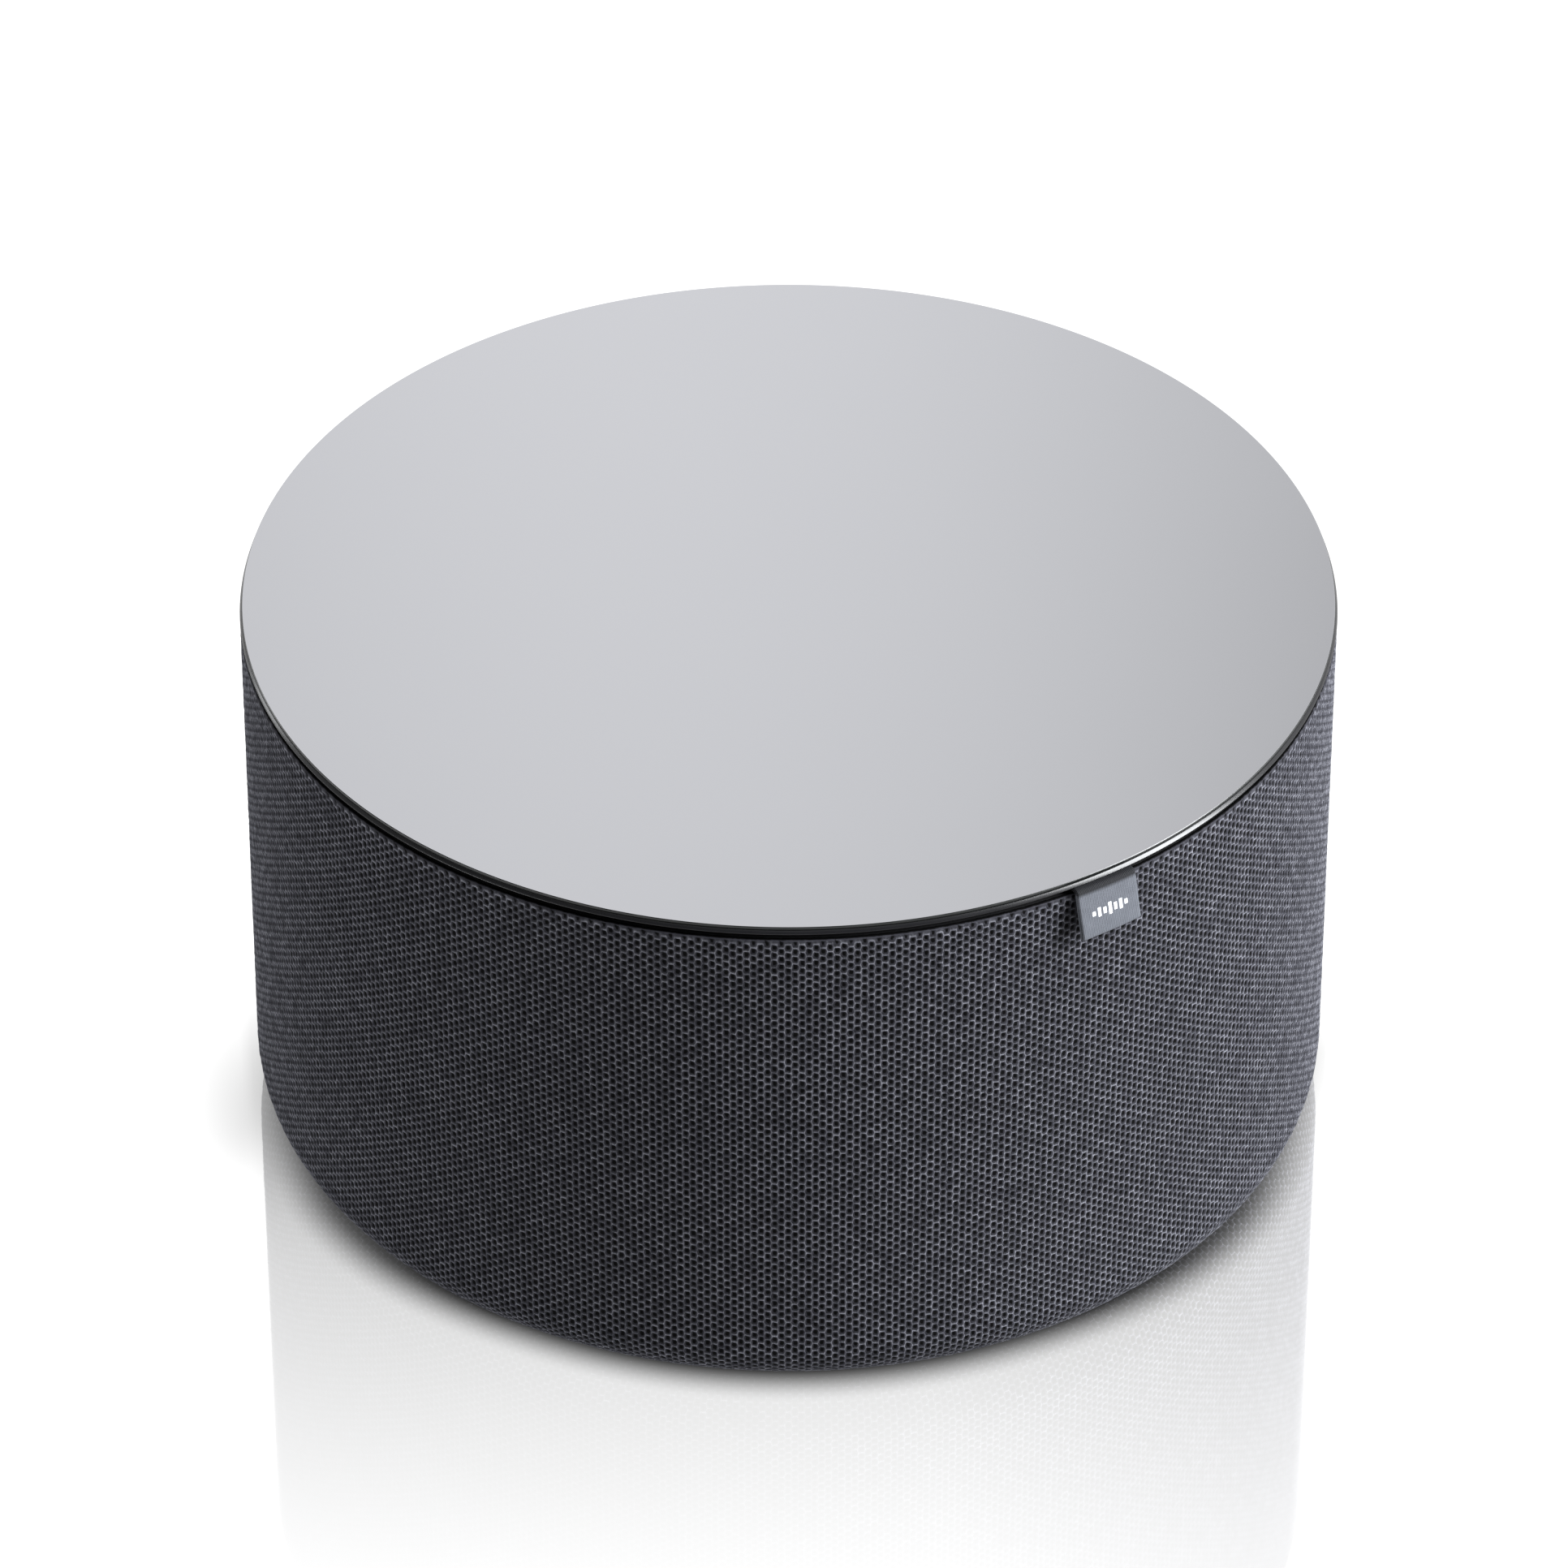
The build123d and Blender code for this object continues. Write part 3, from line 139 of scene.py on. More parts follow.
# ---- Material helpers ----------------------------------------------------------------------
class Shader:
    """A node tree with a Principled surface and short calls for the nodes used here."""

    def __init__(self, name):
        self.mat = bpy.data.materials.new(name)
        self.mat.use_nodes = True
        self.tree = self.mat.node_tree
        self.tree.nodes.clear()
        out = self.add("ShaderNodeOutputMaterial")
        self.bsdf = self.add("ShaderNodeBsdfPrincipled")
        self.tree.links.new(self.bsdf.outputs["BSDF"], out.inputs["Surface"])
        self.coord = self.add("ShaderNodeTexCoord").outputs["Object"]

    def add(self, kind, **settings):
        node = self.tree.nodes.new(kind)
        for key, value in settings.items():
            setattr(node, key, value)
        return node

    def put(self, socket, value):
        if isinstance(value, bpy.types.NodeSocket):
            self.tree.links.new(value, socket)
        elif isinstance(value, (tuple, list)) and socket.type == "RGBA" and len(value) == 3:
            socket.default_value = (*value, 1)
        else:
            socket.default_value = value

    def set(self, **values):
        """Principled inputs by name, with _ for a space."""
        for key, value in values.items():
            self.put(self.bsdf.inputs[key.replace("_", " ")], value)

    def stretch(self, scale, turn=(0, 0, 0)):
        node = self.add("ShaderNodeMapping")
        self.put(node.inputs["Vector"], self.coord)
        node.inputs["Scale"].default_value = scale
        node.inputs["Rotation"].default_value = turn
        return node.outputs["Vector"]

    def noise(self, scale, detail=2.0, rough=0.5, vector=None, warp=0.0):
        node = self.add("ShaderNodeTexNoise")
        self.put(node.inputs["Vector"], vector or self.coord)
        node.inputs["Scale"].default_value = scale
        node.inputs["Detail"].default_value = detail
        node.inputs["Roughness"].default_value = rough
        node.inputs["Distortion"].default_value = warp
        return node.outputs["Fac"]

    def cells(self, scale, feature="F1"):
        node = self.add("ShaderNodeTexVoronoi", feature=feature)
        self.put(node.inputs["Vector"], self.coord)
        node.inputs["Scale"].default_value = scale
        return node.outputs["Distance"]

    def wave(self, pitch, direction, vector=None, warp=0.0):
        """Bands that come every pi times the pitch."""
        node = self.add("ShaderNodeTexWave", bands_direction=direction)
        self.put(node.inputs["Vector"], vector or self.coord)
        node.inputs["Scale"].default_value = 2 / (20 * pitch)
        node.inputs["Distortion"].default_value = warp
        return node.outputs["Fac"]

    def math(self, how, a, b=0.0, c=0.0):
        node = self.add("ShaderNodeMath", operation=how)
        for socket, value in zip(node.inputs, (a, b, c)):
            self.put(socket, value)
        return node.outputs[0]

    def span(self, value, low, high, to_low=0.0, to_high=1.0, smooth=False):
        node = self.add("ShaderNodeMapRange")
        if smooth:
            node.interpolation_type = "SMOOTHSTEP"
        node.clamp = True
        for key, v in (
            ("Value", value),
            ("From Min", low),
            ("From Max", high),
            ("To Min", to_low),
            ("To Max", to_high),
        ):
            self.put(node.inputs[key], v)
        return node.outputs["Result"]

    def mix(self, share, a, b):
        node = self.add("ShaderNodeMix", data_type="RGBA")
        self.put(node.inputs[0], share)
        self.put(node.inputs[6], a)
        self.put(node.inputs[7], b)
        return node.outputs[2]

    def falloff(self, value, below, above):
        """A bell round zero with its own width on either side."""
        under = self.math("DIVIDE", value, -below)
        far = self.math("MAXIMUM", under, self.math("DIVIDE", value, above))
        return self.math("EXPONENT", self.math("MULTIPLY", self.math("MULTIPLY", far, far), -1))

    def attribute(self, name):
        return self.add("ShaderNodeAttribute", attribute_name=name).outputs["Fac"]

    def bump(self, height, distance, strength=1.0):
        node = self.add("ShaderNodeBump")
        node.inputs["Strength"].default_value = strength
        node.inputs["Distance"].default_value = distance
        self.put(node.inputs["Height"], height)
        return node.outputs["Normal"]


def tint(color, factor):
    return tuple(c * factor for c in color)


def grained(name, color, rough, grain, depth, spread, metallic=0.0, patch=90, stretch=(1, 1, 1)):
    """Moulded, cast or rubbed surface: cloudy colour, fine grain in the bump, uneven gloss."""
    s = Shader(name)
    cloud = s.noise(patch, 3)
    fine = s.noise(grain, 2, vector=s.stretch(stretch))
    s.set(
        Base_Color=s.mix(cloud, tint(color, 1 - spread), tint(color, 1 + spread)),
        Roughness=s.span(s.math("ADD", cloud, fine), 0.6, 1.4, rough * 0.85, min(1, rough * 1.15)),
        Normal=s.bump(fine, depth),
        Metallic=metallic,
    )
    return s.mat


# ---- Glass, trim ring ----------------------------------------------------------------------
def mirror_glass_material():
    s = Shader("mirror_glass")
    haze = s.noise(18, 3)
    specks = s.span(s.noise(900, 2), 0.66, 0.8)
    s.set(
        Base_Color=s.mix(haze, (0.608, 0.614, 0.646), (0.616, 0.622, 0.654)),
        Metallic=1.0,
        Roughness=s.math("ADD", s.span(haze, 0.3, 0.7, 0.012, 0.03), s.math("MULTIPLY", specks, 0.01)),
    )
    return s.mat


def glass_edge_material():
    s = Shader("ground_glass_edge")
    grind = s.noise(2600, 2)
    s.set(
        Base_Color=s.mix(grind, (0.002, 0.003, 0.003), (0.006, 0.007, 0.007)),
        Roughness=s.span(grind, 0.3, 0.7, 0.28, 0.36),
        Specular_IOR_Level=0.45,
        Normal=s.bump(grind, 0.000002),
    )
    return s.mat


def gloss_black_material():
    s = Shader("gloss_black")
    cloud = s.noise(120, 2)
    s.set(
        Base_Color=s.mix(cloud, (0.004, 0.004, 0.005), (0.006, 0.006, 0.007)),
        Roughness=s.span(cloud, 0.3, 0.7, 0.25, 0.28),
        Specular_IOR_Level=0.36,
        Normal=s.bump(s.noise(700, 1), 0.000002),
    )
    return s.mat


def seal_material():
    s = Shader("seal_black")
    grain = s.noise(3000, 2)
    s.set(
        Base_Color=s.mix(grain, (0.002, 0.002, 0.002), (0.006, 0.006, 0.006)),
        Roughness=s.span(grain, 0.3, 0.7, 0.7, 0.9),
        Specular_IOR_Level=0.1,
        Normal=s.bump(grain, 0.00001),
    )
    return s.mat


# the top's outermost edge laps a hair over the ring's lip
LOWER_EDGE = 0.05 * MM
ARRIS_OUT, ARRIS_DOWN = 0.10 * MM, 0.13 * MM
RIM_R = GLASS_R + 0.13 * MM
flat_r = RIM_R - 0.14 * MM  # a ring close to the rim keeps the shading flat inside it
glass_section = rounded(
    [
        (0, TOP_Z - GLASS_T),
        (GLASS_R, TOP_Z - GLASS_T),
        (GLASS_R, trim_high.z + 0.03 * MM),
        (RIM_R, trim_high.z + 0.12 * MM),
        (RIM_R, TOP_Z - ARRIS_DOWN),
        (RIM_R - ARRIS_OUT, TOP_Z),
        (flat_r, TOP_Z),
        (GLASS_R - 1 * MM, TOP_Z),
        (0, TOP_Z),
    ],
    [0, LOWER_EDGE, 0, 0, 0.04 * MM, 0.015 * MM, 0, 0, 0],
    3,
)
glass = revolved(
    "mirror_glass_disc",
    glass_section,
    720,
    closed=False,
    finish_of=lambda r, z: 0 if z > TOP_Z - 0.001 * MM else 1,
)
glass.data.materials.append(mirror_glass_material())
glass.data.materials.append(glass_edge_material())
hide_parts("glass_top_plate")
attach(glass, "hub")

# the ring's outer face leans back towards the glass in one slightly crowned chamfer
seat_z = trim_low.z + 0.4 * MM
lip_r = BODY_R - 0.58 * MM
trim_inner = 104.2 * MM
BREAK = 0.05 * MM  # the ring's lower corner
CHAMFER_IN = 0.5 * MM
SEAL_R = BODY_R - 0.51 * MM  # inside this the ring is matt
chamfer_low = (BODY_R, trim_low.z + BREAK)
chamfer_high = (BODY_R - CHAMFER_IN, trim_high.z - 0.02 * MM)
chamfer_run = math.dist(chamfer_low, chamfer_high)
chamfer_out = (
    (chamfer_high[1] - chamfer_low[1]) / chamfer_run,
    (chamfer_low[0] - chamfer_high[0]) / chamfer_run,
)
CROWNING = 0.035 * MM
chamfer_steps = 10
trim_section = [(trim_inner, trim_low.z), (BODY_R - BREAK, trim_low.z)]
for k in range(chamfer_steps + 1):
    t = k / chamfer_steps
    swell = CROWNING * 4 * t * (1 - t)
    trim_section.append(
        tuple(
            chamfer_low[i] + (chamfer_high[i] - chamfer_low[i]) * t + chamfer_out[i] * swell
            for i in (0, 1)
        )
    )
trim_section += [
    (BODY_R - 0.54 * MM, trim_high.z),
    (lip_r, trim_high.z - 0.03 * MM),
    (lip_r, seat_z),
    (trim_inner, seat_z),
]
trim = revolved(
    "gloss_trim_ring",
    trim_section,
    720,
    finish_of=lambda r, z: 1 if r < SEAL_R else 0,
)
trim.data.materials.append(gloss_black_material())
trim.data.materials.append(seal_material())
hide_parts("top_trim_ring")
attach(trim, "hub")

# ---- Knitted sleeve ------------------------------------------------------------------------
WALES = 516  # columns of pores round the drum
COURSE = 1.857 * MM  # from pore to pore down one column; the next column is half a course lower
CROWN_R = 0.5 * MM
TUCK = 0.3 * MM
PORE_DEPTH = 0.7 * MM
YARN_DEPTH = 0.12 * MM  # how far a stitch may lie below the surface
SLANT = 0.05 * MM  # the stitch points lean along and across the drum
WANDER_U, WANDER_S = 0.035, 0.028  # scatter of a point, in columns and courses
corner_top_z = HEM_Z + CORNER_R
corner_r0 = BODY_R - CORNER_R
crown_arc = CROWN_R * math.pi
crown_centre_z = CROWN_Z - CROWN_R
wall = crown_centre_z - corner_top_z
corner_arc = CORNER_R * math.pi / 2
SLEEVE_END = TUCK + crown_arc + wall + corner_arc


def sleeve_line(s):
    """Radius, height and outward normal along the sleeve: up out of the gap, over the crown's
    crest, down the wall and round the bottom corner to the hem."""
    s = np.asarray(s, float)
    a = np.clip((s - TUCK) / CROWN_R, 0, math.pi)
    b = np.clip((s - TUCK - crown_arc - wall) / CORNER_R, 0, math.pi / 2)
    down = np.clip(s - TUCK - crown_arc, 0, wall)
    crest_r = BODY_R - CROWN_R - CROWN_R * np.cos(a)
    crest_z = crown_centre_z + CROWN_R * np.sin(a) + np.minimum(s - TUCK, 0)
    low_r = corner_r0 + CORNER_R * np.cos(b)
    low_z = corner_top_z - CORNER_R * np.sin(b)
    upper = s < TUCK + crown_arc
    r = np.where(upper, crest_r, low_r)
    z = np.where(upper, crest_z, np.where(b > 0, low_z, crown_centre_z - down))
    nr = np.where(upper, -np.cos(a), np.cos(b))
    nz = np.where(upper, np.sin(a), -np.sin(b))
    return r, z, nr, nz


TUCKED = 1.1 * COURSE
rows = int((SLEEVE_END + TUCKED) / COURSE)
wale = np.repeat(np.arange(WALES), rows)
course = np.tile(np.arange(rows), WALES)
pore_s = COURSE * (course + 0.5 * (wale % 2)) - TUCKED
count = WALES * rows
wale_width = 2 * math.pi * BODY_R / WALES

place_u = np.concatenate([wale, wale + 1 / 3, wale + 2 / 3]).astype(float)
place_s = np.concatenate([pore_s, pore_s + COURSE / 2, pore_s])
kind = np.repeat([0, 1, 2], count)
place_u += np.where(kind == 1, SLANT, 0) / wale_width - np.where(kind == 2, SLANT, 0) / wale_width
place_s += np.where(kind == 1, SLANT, 0) - np.where(kind == 2, SLANT, 0)
place_u += rng.normal(0, WANDER_U, 3 * count)
place_s += rng.normal(0, WANDER_S, 3 * count) * COURSE
depth = np.where(
    kind == 0,
    PORE_DEPTH * rng.uniform(0.7, 1.05, 3 * count),
    rng.uniform(0.0, YARN_DEPTH, 3 * count),
)
crown_fade = np.clip((place_s - TUCK - crown_arc * 0.6) / COURSE, 0, 1)
depth *= 0.1 + 0.9 * crown_fade
r, z, nr, nz = sleeve_line(place_s)
r, z = r - nr * depth, z - nz * depth
turn = place_u * 2 * math.pi / WALES
knit = np.stack([r * np.sin(turn), -r * np.cos(turn), z], axis=1)


def at(k, j):
    return (k % WALES) * rows + j


odd = wale % 2
left = wale - 1
corners = [
    (count + at(wale, course), course),
    (2 * count + at(wale, course), course),
    (count + at(wale, course - 1), course - 1),
    (2 * count + at(left, course - 1 + odd), course - 1 + odd),
    (count + at(left, course - 1 + odd), course - 1 + odd),
    (2 * count + at(left, course + odd), course + odd),
]
inside = np.ones(count, bool)
for _, row in corners:
    inside &= (row >= 0) & (row < rows)

# the window for the port panel at the lower rear
window_x = panel_high.x + 0.2 * MM
window_z = (panel_low.z + panel_high.z) / 2
WINDOW_HALF = np.array([window_x, (panel_high.z - panel_low.z) / 2 + 0.2 * MM])
WINDOW_R = 7.0 * MM
WINDOW_HEM = 2.5 * MM  # cloth this far inside the window is pulled to its edge


def window_distance(x, z):
    """Signed distance to the rounded window, below zero inside it."""
    qx = np.abs(x) - (WINDOW_HALF[0] - WINDOW_R)
    qz = np.abs(z - window_z) - (WINDOW_HALF[1] - WINDOW_R)
    outer = np.hypot(np.maximum(qx, 0), np.maximum(qz, 0))
    return outer + np.minimum(np.maximum(qx, qz), 0) - WINDOW_R


distance = window_distance(knit[:, 0], knit[:, 2])
behind = knit[:, 1] > 0
small = 0.01 * MM
slope_x = (window_distance(knit[:, 0] + small, knit[:, 2]) - distance) / small
slope_z = (window_distance(knit[:, 0], knit[:, 2] + small) - distance) / small
inside &= ~(behind[:count] & (distance[:count] < 0.25 * MM))
pulled = behind & (distance < 0) & (distance > -WINDOW_HEM)
knit[pulled, 0] -= (distance * slope_x)[pulled]
knit[pulled, 2] -= (distance * slope_z)[pulled]
near = behind & (distance < 0.3 * MM) & (distance > -WINDOW_HEM)
edge_r = BODY_R - 0.7 * MM
knit[near, 1] = np.sqrt(edge_r**2 - knit[near, 0] ** 2)

kept = np.nonzero(inside)[0]
corner_ids = np.stack([index for index, _ in corners], axis=1)[kept]
triangles = []
for a in range(6):
    b = (a + 1) % 6
    triangles.append(np.stack([kept, corner_ids[:, b], corner_ids[:, a]], axis=1))
triangles = np.concatenate(triangles)

# the turned-under hem, smooth, lapped behind the last row of stitches
hem_turn = np.arange(WALES) * 2 * math.pi / WALES
hem_rings = []
for s, inset in ((SLEEVE_END - 2.6 * MM, 0.45), (SLEEVE_END - 0.8 * MM, 0.3)):
    hr, hz, hnr, hnz = sleeve_line(s)
    hem_rings.append((float(hr - hnr * inset * MM), float(hz - hnz * inset * MM)))
HEM_R = 96.0 * MM
hem_rings += [
    (corner_r0 - 1.4 * MM, HEM_Z),
    (HEM_R + 0.4 * MM, HEM_Z),
    (HEM_R, HEM_Z + 0.3 * MM),
]
hem = np.concatenate(
    [
        np.stack([hr * np.sin(hem_turn), -hr * np.cos(hem_turn), np.full(WALES, hz)], axis=1)
        for hr, hz in hem_rings
    ]
)
hem_quads = []
first = 3 * count
for ring in range(len(hem_rings) - 1):
    a = first + ring * WALES + np.arange(WALES)
    b = first + ring * WALES + (np.arange(WALES) + 1) % WALES
    hem_quads.append(np.stack([a, b, b + WALES, a + WALES], axis=1)[:, ::-1])
hem_quads = np.concatenate(hem_quads)

points = np.concatenate([knit, hem])
knit_pore = (kind == 0).astype(float)
tucked_in = np.clip((place_s - TUCK) / crown_arc, 0, 1)
# over the crown the pore level rises towards dark near the gap under the ring: painted shade of the
# gap
knit_pore = np.maximum(knit_pore * np.maximum(crown_fade, 0.3), 0.9 - 0.9 * tucked_in**3)
pore_and_gap_shade = np.concatenate([knit_pore, np.full(len(hem), 0.3)])
tone = np.concatenate([rng.uniform(0, 1, 3 * count), np.full(len(hem), 0.4)])
wale_tone = rng.normal(0, 1, WALES)
tone[: 3 * count] += 0.03 * np.tile(np.repeat(wale_tone, rows), 3)
used = np.zeros(len(points), bool)
used[triangles.ravel()] = True
used[hem_quads.ravel()] = True
new_index = np.cumsum(used) - 1
faces = [tuple(f) for f in new_index[triangles]] + [tuple(f) for f in new_index[hem_quads]]
knit_cover = mesh_object("knit_cover", points[used], faces)
run = np.concatenate([(place_s + TUCKED) / COURSE, np.full(len(hem), 0.25)])
for name, values in (("pore_and_gap_shade", pore_and_gap_shade), ("tone", tone), ("run", run)):
    layer = knit_cover.data.attributes.new(name, "FLOAT", "POINT")
    layer.data.foreach_set("value", values[used].astype(np.float32))


def knit_material():
    s = Shader("knitted_mesh")
    pore_shade_level = s.attribute("pore_and_gap_shade")
    yarn_tone = s.attribute("tone")
    fuzz = s.noise(5200, 2, 0.6)
    strand = s.noise(1500, 2, 0.6, warp=0.5)
    wander = s.math("ADD", pore_shade_level, s.math("MULTIPLY", s.math("SUBTRACT", strand, 0.5), 0.36))
    # the stitch crests and glints are painted lighter and the slopes darker: painted highlight and
    # shade over the yarn's random tone
    crest = s.span(wander, 0.0, 0.26, 1, 0, smooth=True)
    # the pores are painted near-black: painted shade of the open holes in the knit
    pore_shade = s.span(wander, 0.36, 0.55, smooth=True)
    shine = s.math("ADD", s.math("MULTIPLY", yarn_tone, 0.6), s.math("MULTIPLY", fuzz, 0.7))
    glint = s.span(shine, 0.35, 1.0)
    light = s.mix(glint, (0.044, 0.045, 0.054), (0.170, 0.172, 0.197))
    ground = s.mix(yarn_tone, (0.020, 0.020, 0.025), (0.033, 0.033, 0.040))
    # painted shade: the rows of pores darker, as the rows shade each other when seen from the side
    row_shade = s.math("COSINE", s.math("MULTIPLY", s.attribute("run"), 4 * math.pi))
    yarn = s.mix(s.span(row_shade, -1, 1, 0.5, 0), s.mix(crest, ground, light), (0.006, 0.006, 0.0075))
    relief = s.math("ADD", crest, s.math("MULTIPLY", fuzz, 0.5))
    s.set(
        Base_Color=s.mix(pore_shade, yarn, (0.0008, 0.0008, 0.0010)),
        Roughness=0.75,
        Specular_IOR_Level=0.06,
        Normal=s.bump(relief, 0.00012, 0.8),
    )
    return s.mat


knit_cover.data.materials.append(knit_material())
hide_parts("fabric_sleeve")
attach(knit_cover, "hub")

# ---- Label loop ----------------------------------------------------------------------------
LABEL_TURN = math.radians(33.4)
LABEL_HALF = 6.8 * MM
PLY = 0.34 * MM
label_out = Vector((math.sin(LABEL_TURN), -math.cos(LABEL_TURN), 0))
label_side = Vector((math.cos(LABEL_TURN), math.sin(LABEL_TURN), 0))
upper = trim_low.z - 0.05 * MM - PLY / 2
lower = upper - PLY - 0.06 * MM
root = NECK_R + 0.5 * MM
front_corner = (BODY_R + 1.35 * MM, upper)
front_fold = (BODY_R + 3.75 * MM, 106.75 * MM)
back_fold = (BODY_R + 2.85 * MM, 106.55 * MM)
back_corner = (BODY_R + 0.75 * MM, lower)
corner_path = rounded(
    [(root, upper), front_corner, front_fold, back_fold, back_corner, (root, lower)],
    [0, 0.9 * MM, 0.44 * MM, 0.44 * MM, 0.5 * MM, 0],
    8,
)
label_step = 0.3 * MM
path = [corner_path[0]]
for point in corner_path[1:]:
    run = math.dist(path[-1], point)
    parts = max(1, round(run / label_step))
    start = path[-1]
    for k in range(1, parts + 1):
        path.append(tuple(start[i] + (point[i] - start[i]) * k / parts for i in (0, 1)))
path = np.array(path)
along = np.concatenate([[0], np.cumsum(np.hypot(*np.diff(path, axis=0).T))])
heading = np.gradient(path, axis=0)
heading /= np.linalg.norm(heading, axis=1)[:, None]
normal = np.stack([-heading[:, 1], heading[:, 0]], axis=1)
across = np.linspace(-1, 1, 33)
middle_r = (front_corner[0] + front_fold[0]) / 2
middle_z = (upper + front_fold[1]) / 2
front_middle = int(np.argmin(np.hypot(path[:, 0] - middle_r, path[:, 1] - middle_z)))


def label_point(rho, z, u):
    """The tag hangs free below the gap and leans outwards, a little more at its left edge."""
    drop = min(1, max(0, (upper - z) / (upper - front_fold[1]))) ** 1.2
    swing = -0.2 * u * drop * MM
    ripple = 0.10 * MM * math.sin(2.6 * u + 1.0) * drop
    sag = -u * u * 0.2 * MM * (1 - drop)
    rho = rho + swing + ripple + sag
    return label_out * rho + label_side * (u * LABEL_HALF) + Vector((0, 0, z))


label_verts, label_faces, label_u, label_v = [], [], [], []
for side in (-1, 1):
    for k, (rho, z) in enumerate(path):
        shift = normal[k] * side * PLY / 2
        for u in across:
            thin = 1.0 if abs(u) < 0.99 else 0.55
            label_verts.append(label_point(rho + shift[0] * thin, z + shift[1] * thin, u))
            label_u.append(u * LABEL_HALF)
            label_v.append(along[k])
K, M = len(across), len(path)
for side in (0, 1):
    for k in range(M - 1):
        for i in range(K - 1):
            a = side * M * K + k * K + i
            quad = (a, a + 1, a + K + 1, a + K)
            label_faces.append(quad if side else quad[::-1])
for k in range(M - 1):
    for i in (0, K - 1):
        a, b = k * K + i, M * K + k * K + i
        quad = (a, a + K, b + K, b)
        label_faces.append(quad if i else quad[::-1])
for k in (0, M - 1):
    for i in range(K - 1):
        a, b = k * K + i, M * K + k * K + i
        quad = (a, a + 1, b + 1, b)
        label_faces.append(quad[::-1] if k else quad)
label = mesh_object("woven_label_loop", label_verts, label_faces)
for name, values in (("across", label_u), ("along", label_v)):
    layer = label.data.attributes.new(name, "FLOAT", "POINT")
    layer.data.foreach_set("value", np.array(values, np.float32))


BARS = ((-3, 0.45), (-2, 0.95), (-1, 0.65), (0, 1.25), (1, 0.75), (2, 1.05), (3, 0.5))
BAR_PITCH = 1.25 * MM


def label_material(motif_centre):
    """Twill weave with a plain motif of bars, given by place and half height in mm; painted
    shade makes it black up in the gap."""
    s = Shader("woven_label")
    u, v = s.attribute("across"), s.attribute("along")
    warp_n = 2 * math.pi / (0.34 * MM)
    weft_n = 2 * math.pi / (0.30 * MM)
    warp = s.math("SINE", s.math("MULTIPLY", u, warp_n))
    twill = s.math("ADD", s.math("MULTIPLY", v, weft_n), s.math("MULTIPLY", u, warp_n / 2))
    weft = s.math("SINE", twill)
    weave = s.math("MULTIPLY", s.math("ADD", warp, weft), 0.5)
    fuzz = s.noise(6500, 2)
    cloud = s.noise(420, 2)
    wool = s.math("ADD", s.math("MULTIPLY", fuzz, 0.5), s.math("MULTIPLY", cloud, 0.35))
    level = s.math("ADD", s.math("MULTIPLY", weave, 0.28), wool)
    ground = s.mix(s.span(level, 0.1, 0.75), (0.045, 0.049, 0.058), (0.100, 0.106, 0.122))
    motif = None
    for place, tall in BARS:
        du = s.math("ABSOLUTE", s.math("SUBTRACT", u, place * BAR_PITCH))
        dv = s.math("ABSOLUTE", s.math("SUBTRACT", v, motif_centre))
        bar = s.math(
            "MULTIPLY",
            s.span(du, 0.30 * MM, 0.40 * MM, 1, 0),
            s.span(dv, (tall - 0.06) * MM, (tall + 0.06) * MM, 1, 0),
        )
        motif = bar if motif is None else s.math("MAXIMUM", motif, bar)
    white = s.mix(s.span(level, 0.1, 0.75), (0.55, 0.56, 0.58), (0.82, 0.83, 0.84))
    height = s.add("ShaderNodeSeparateXYZ")
    s.put(height.inputs[0], s.coord)
    # painted shade: the tag goes near-black where it rises into the gap under the ring
    gap_shade = s.span(height.outputs["Z"], upper - 1.3 * MM, upper - 0.5 * MM, 0, 0.93)
    ground = s.mix(gap_shade, ground, (0.004, 0.004, 0.005))
    s.set(
        Base_Color=s.mix(motif, ground, white),
        Roughness=0.7,
        Specular_IOR_Level=0.15,
        Normal=s.bump(s.math("ADD", weave, fuzz), 0.00005, 0.8),
    )
    return s.mat


label.data.materials.append(label_material(float(along[front_middle]) + 0.4 * MM))
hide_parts("woven_label")
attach(label, "hub")


# ---- Finishes of the CAD pieces ------------------------------------------------------------
def board_material():
    s = Shader("circuit_board")
    trace = s.cells(420, feature="DISTANCE_TO_EDGE")
    pads = s.cells(900)
    copper = s.span(trace, 0.02, 0.05, 1, 0)
    dots = s.span(pads, 0.10, 0.14, 1, 0)
    mask = s.mix(copper, (0.010, 0.060, 0.030), (0.022, 0.115, 0.055))
    s.set(
        Base_Color=s.mix(dots, mask, (0.70, 0.52, 0.22)),
        Metallic=s.math("MULTIPLY", dots, 0.9),
        Roughness=s.span(s.noise(300, 2), 0.3, 0.7, 0.28, 0.42),
        Normal=s.bump(s.math("ADD", copper, dots), 0.00003),
    )
    return s.mat


def striped_material(name, dark, light, pitch, direction, rough, metallic=0.0, depth=0.00004):
    """Windings and ribbon conductors: bands with a fine grain."""
    s = Shader(name)
    bands = s.wave(pitch, direction)
    fine = s.noise(2500, 2)
    s.set(
        Base_Color=s.mix(s.math("MULTIPLY", s.math("ADD", bands, fine), 0.5), dark, light),
        Roughness=s.span(fine, 0.3, 0.7, rough * 0.85, rough * 1.15),
        Metallic=metallic,
        Normal=s.bump(s.math("ADD", bands, s.math("MULTIPLY", fine, 0.3)), depth),
    )
    return s.mat


def cloth_material(name, dark, light, pitch):
    """Open plain weave: a resin-dipped suspension cloth."""
    s = Shader(name)
    a = s.wave(pitch, "X", warp=0.6)
    b = s.wave(pitch, "Y", warp=0.6)
    weave = s.math("MULTIPLY", a, b)
    fuzz = s.noise(4200, 3)
    s.set(
        Base_Color=s.mix(s.math("MULTIPLY", s.math("ADD", weave, fuzz), 0.6), dark, light),
        Roughness=0.85,
        Sheen_Weight=0.2,
        Normal=s.bump(s.math("ADD", weave, fuzz), 0.00008),
    )
    return s.mat


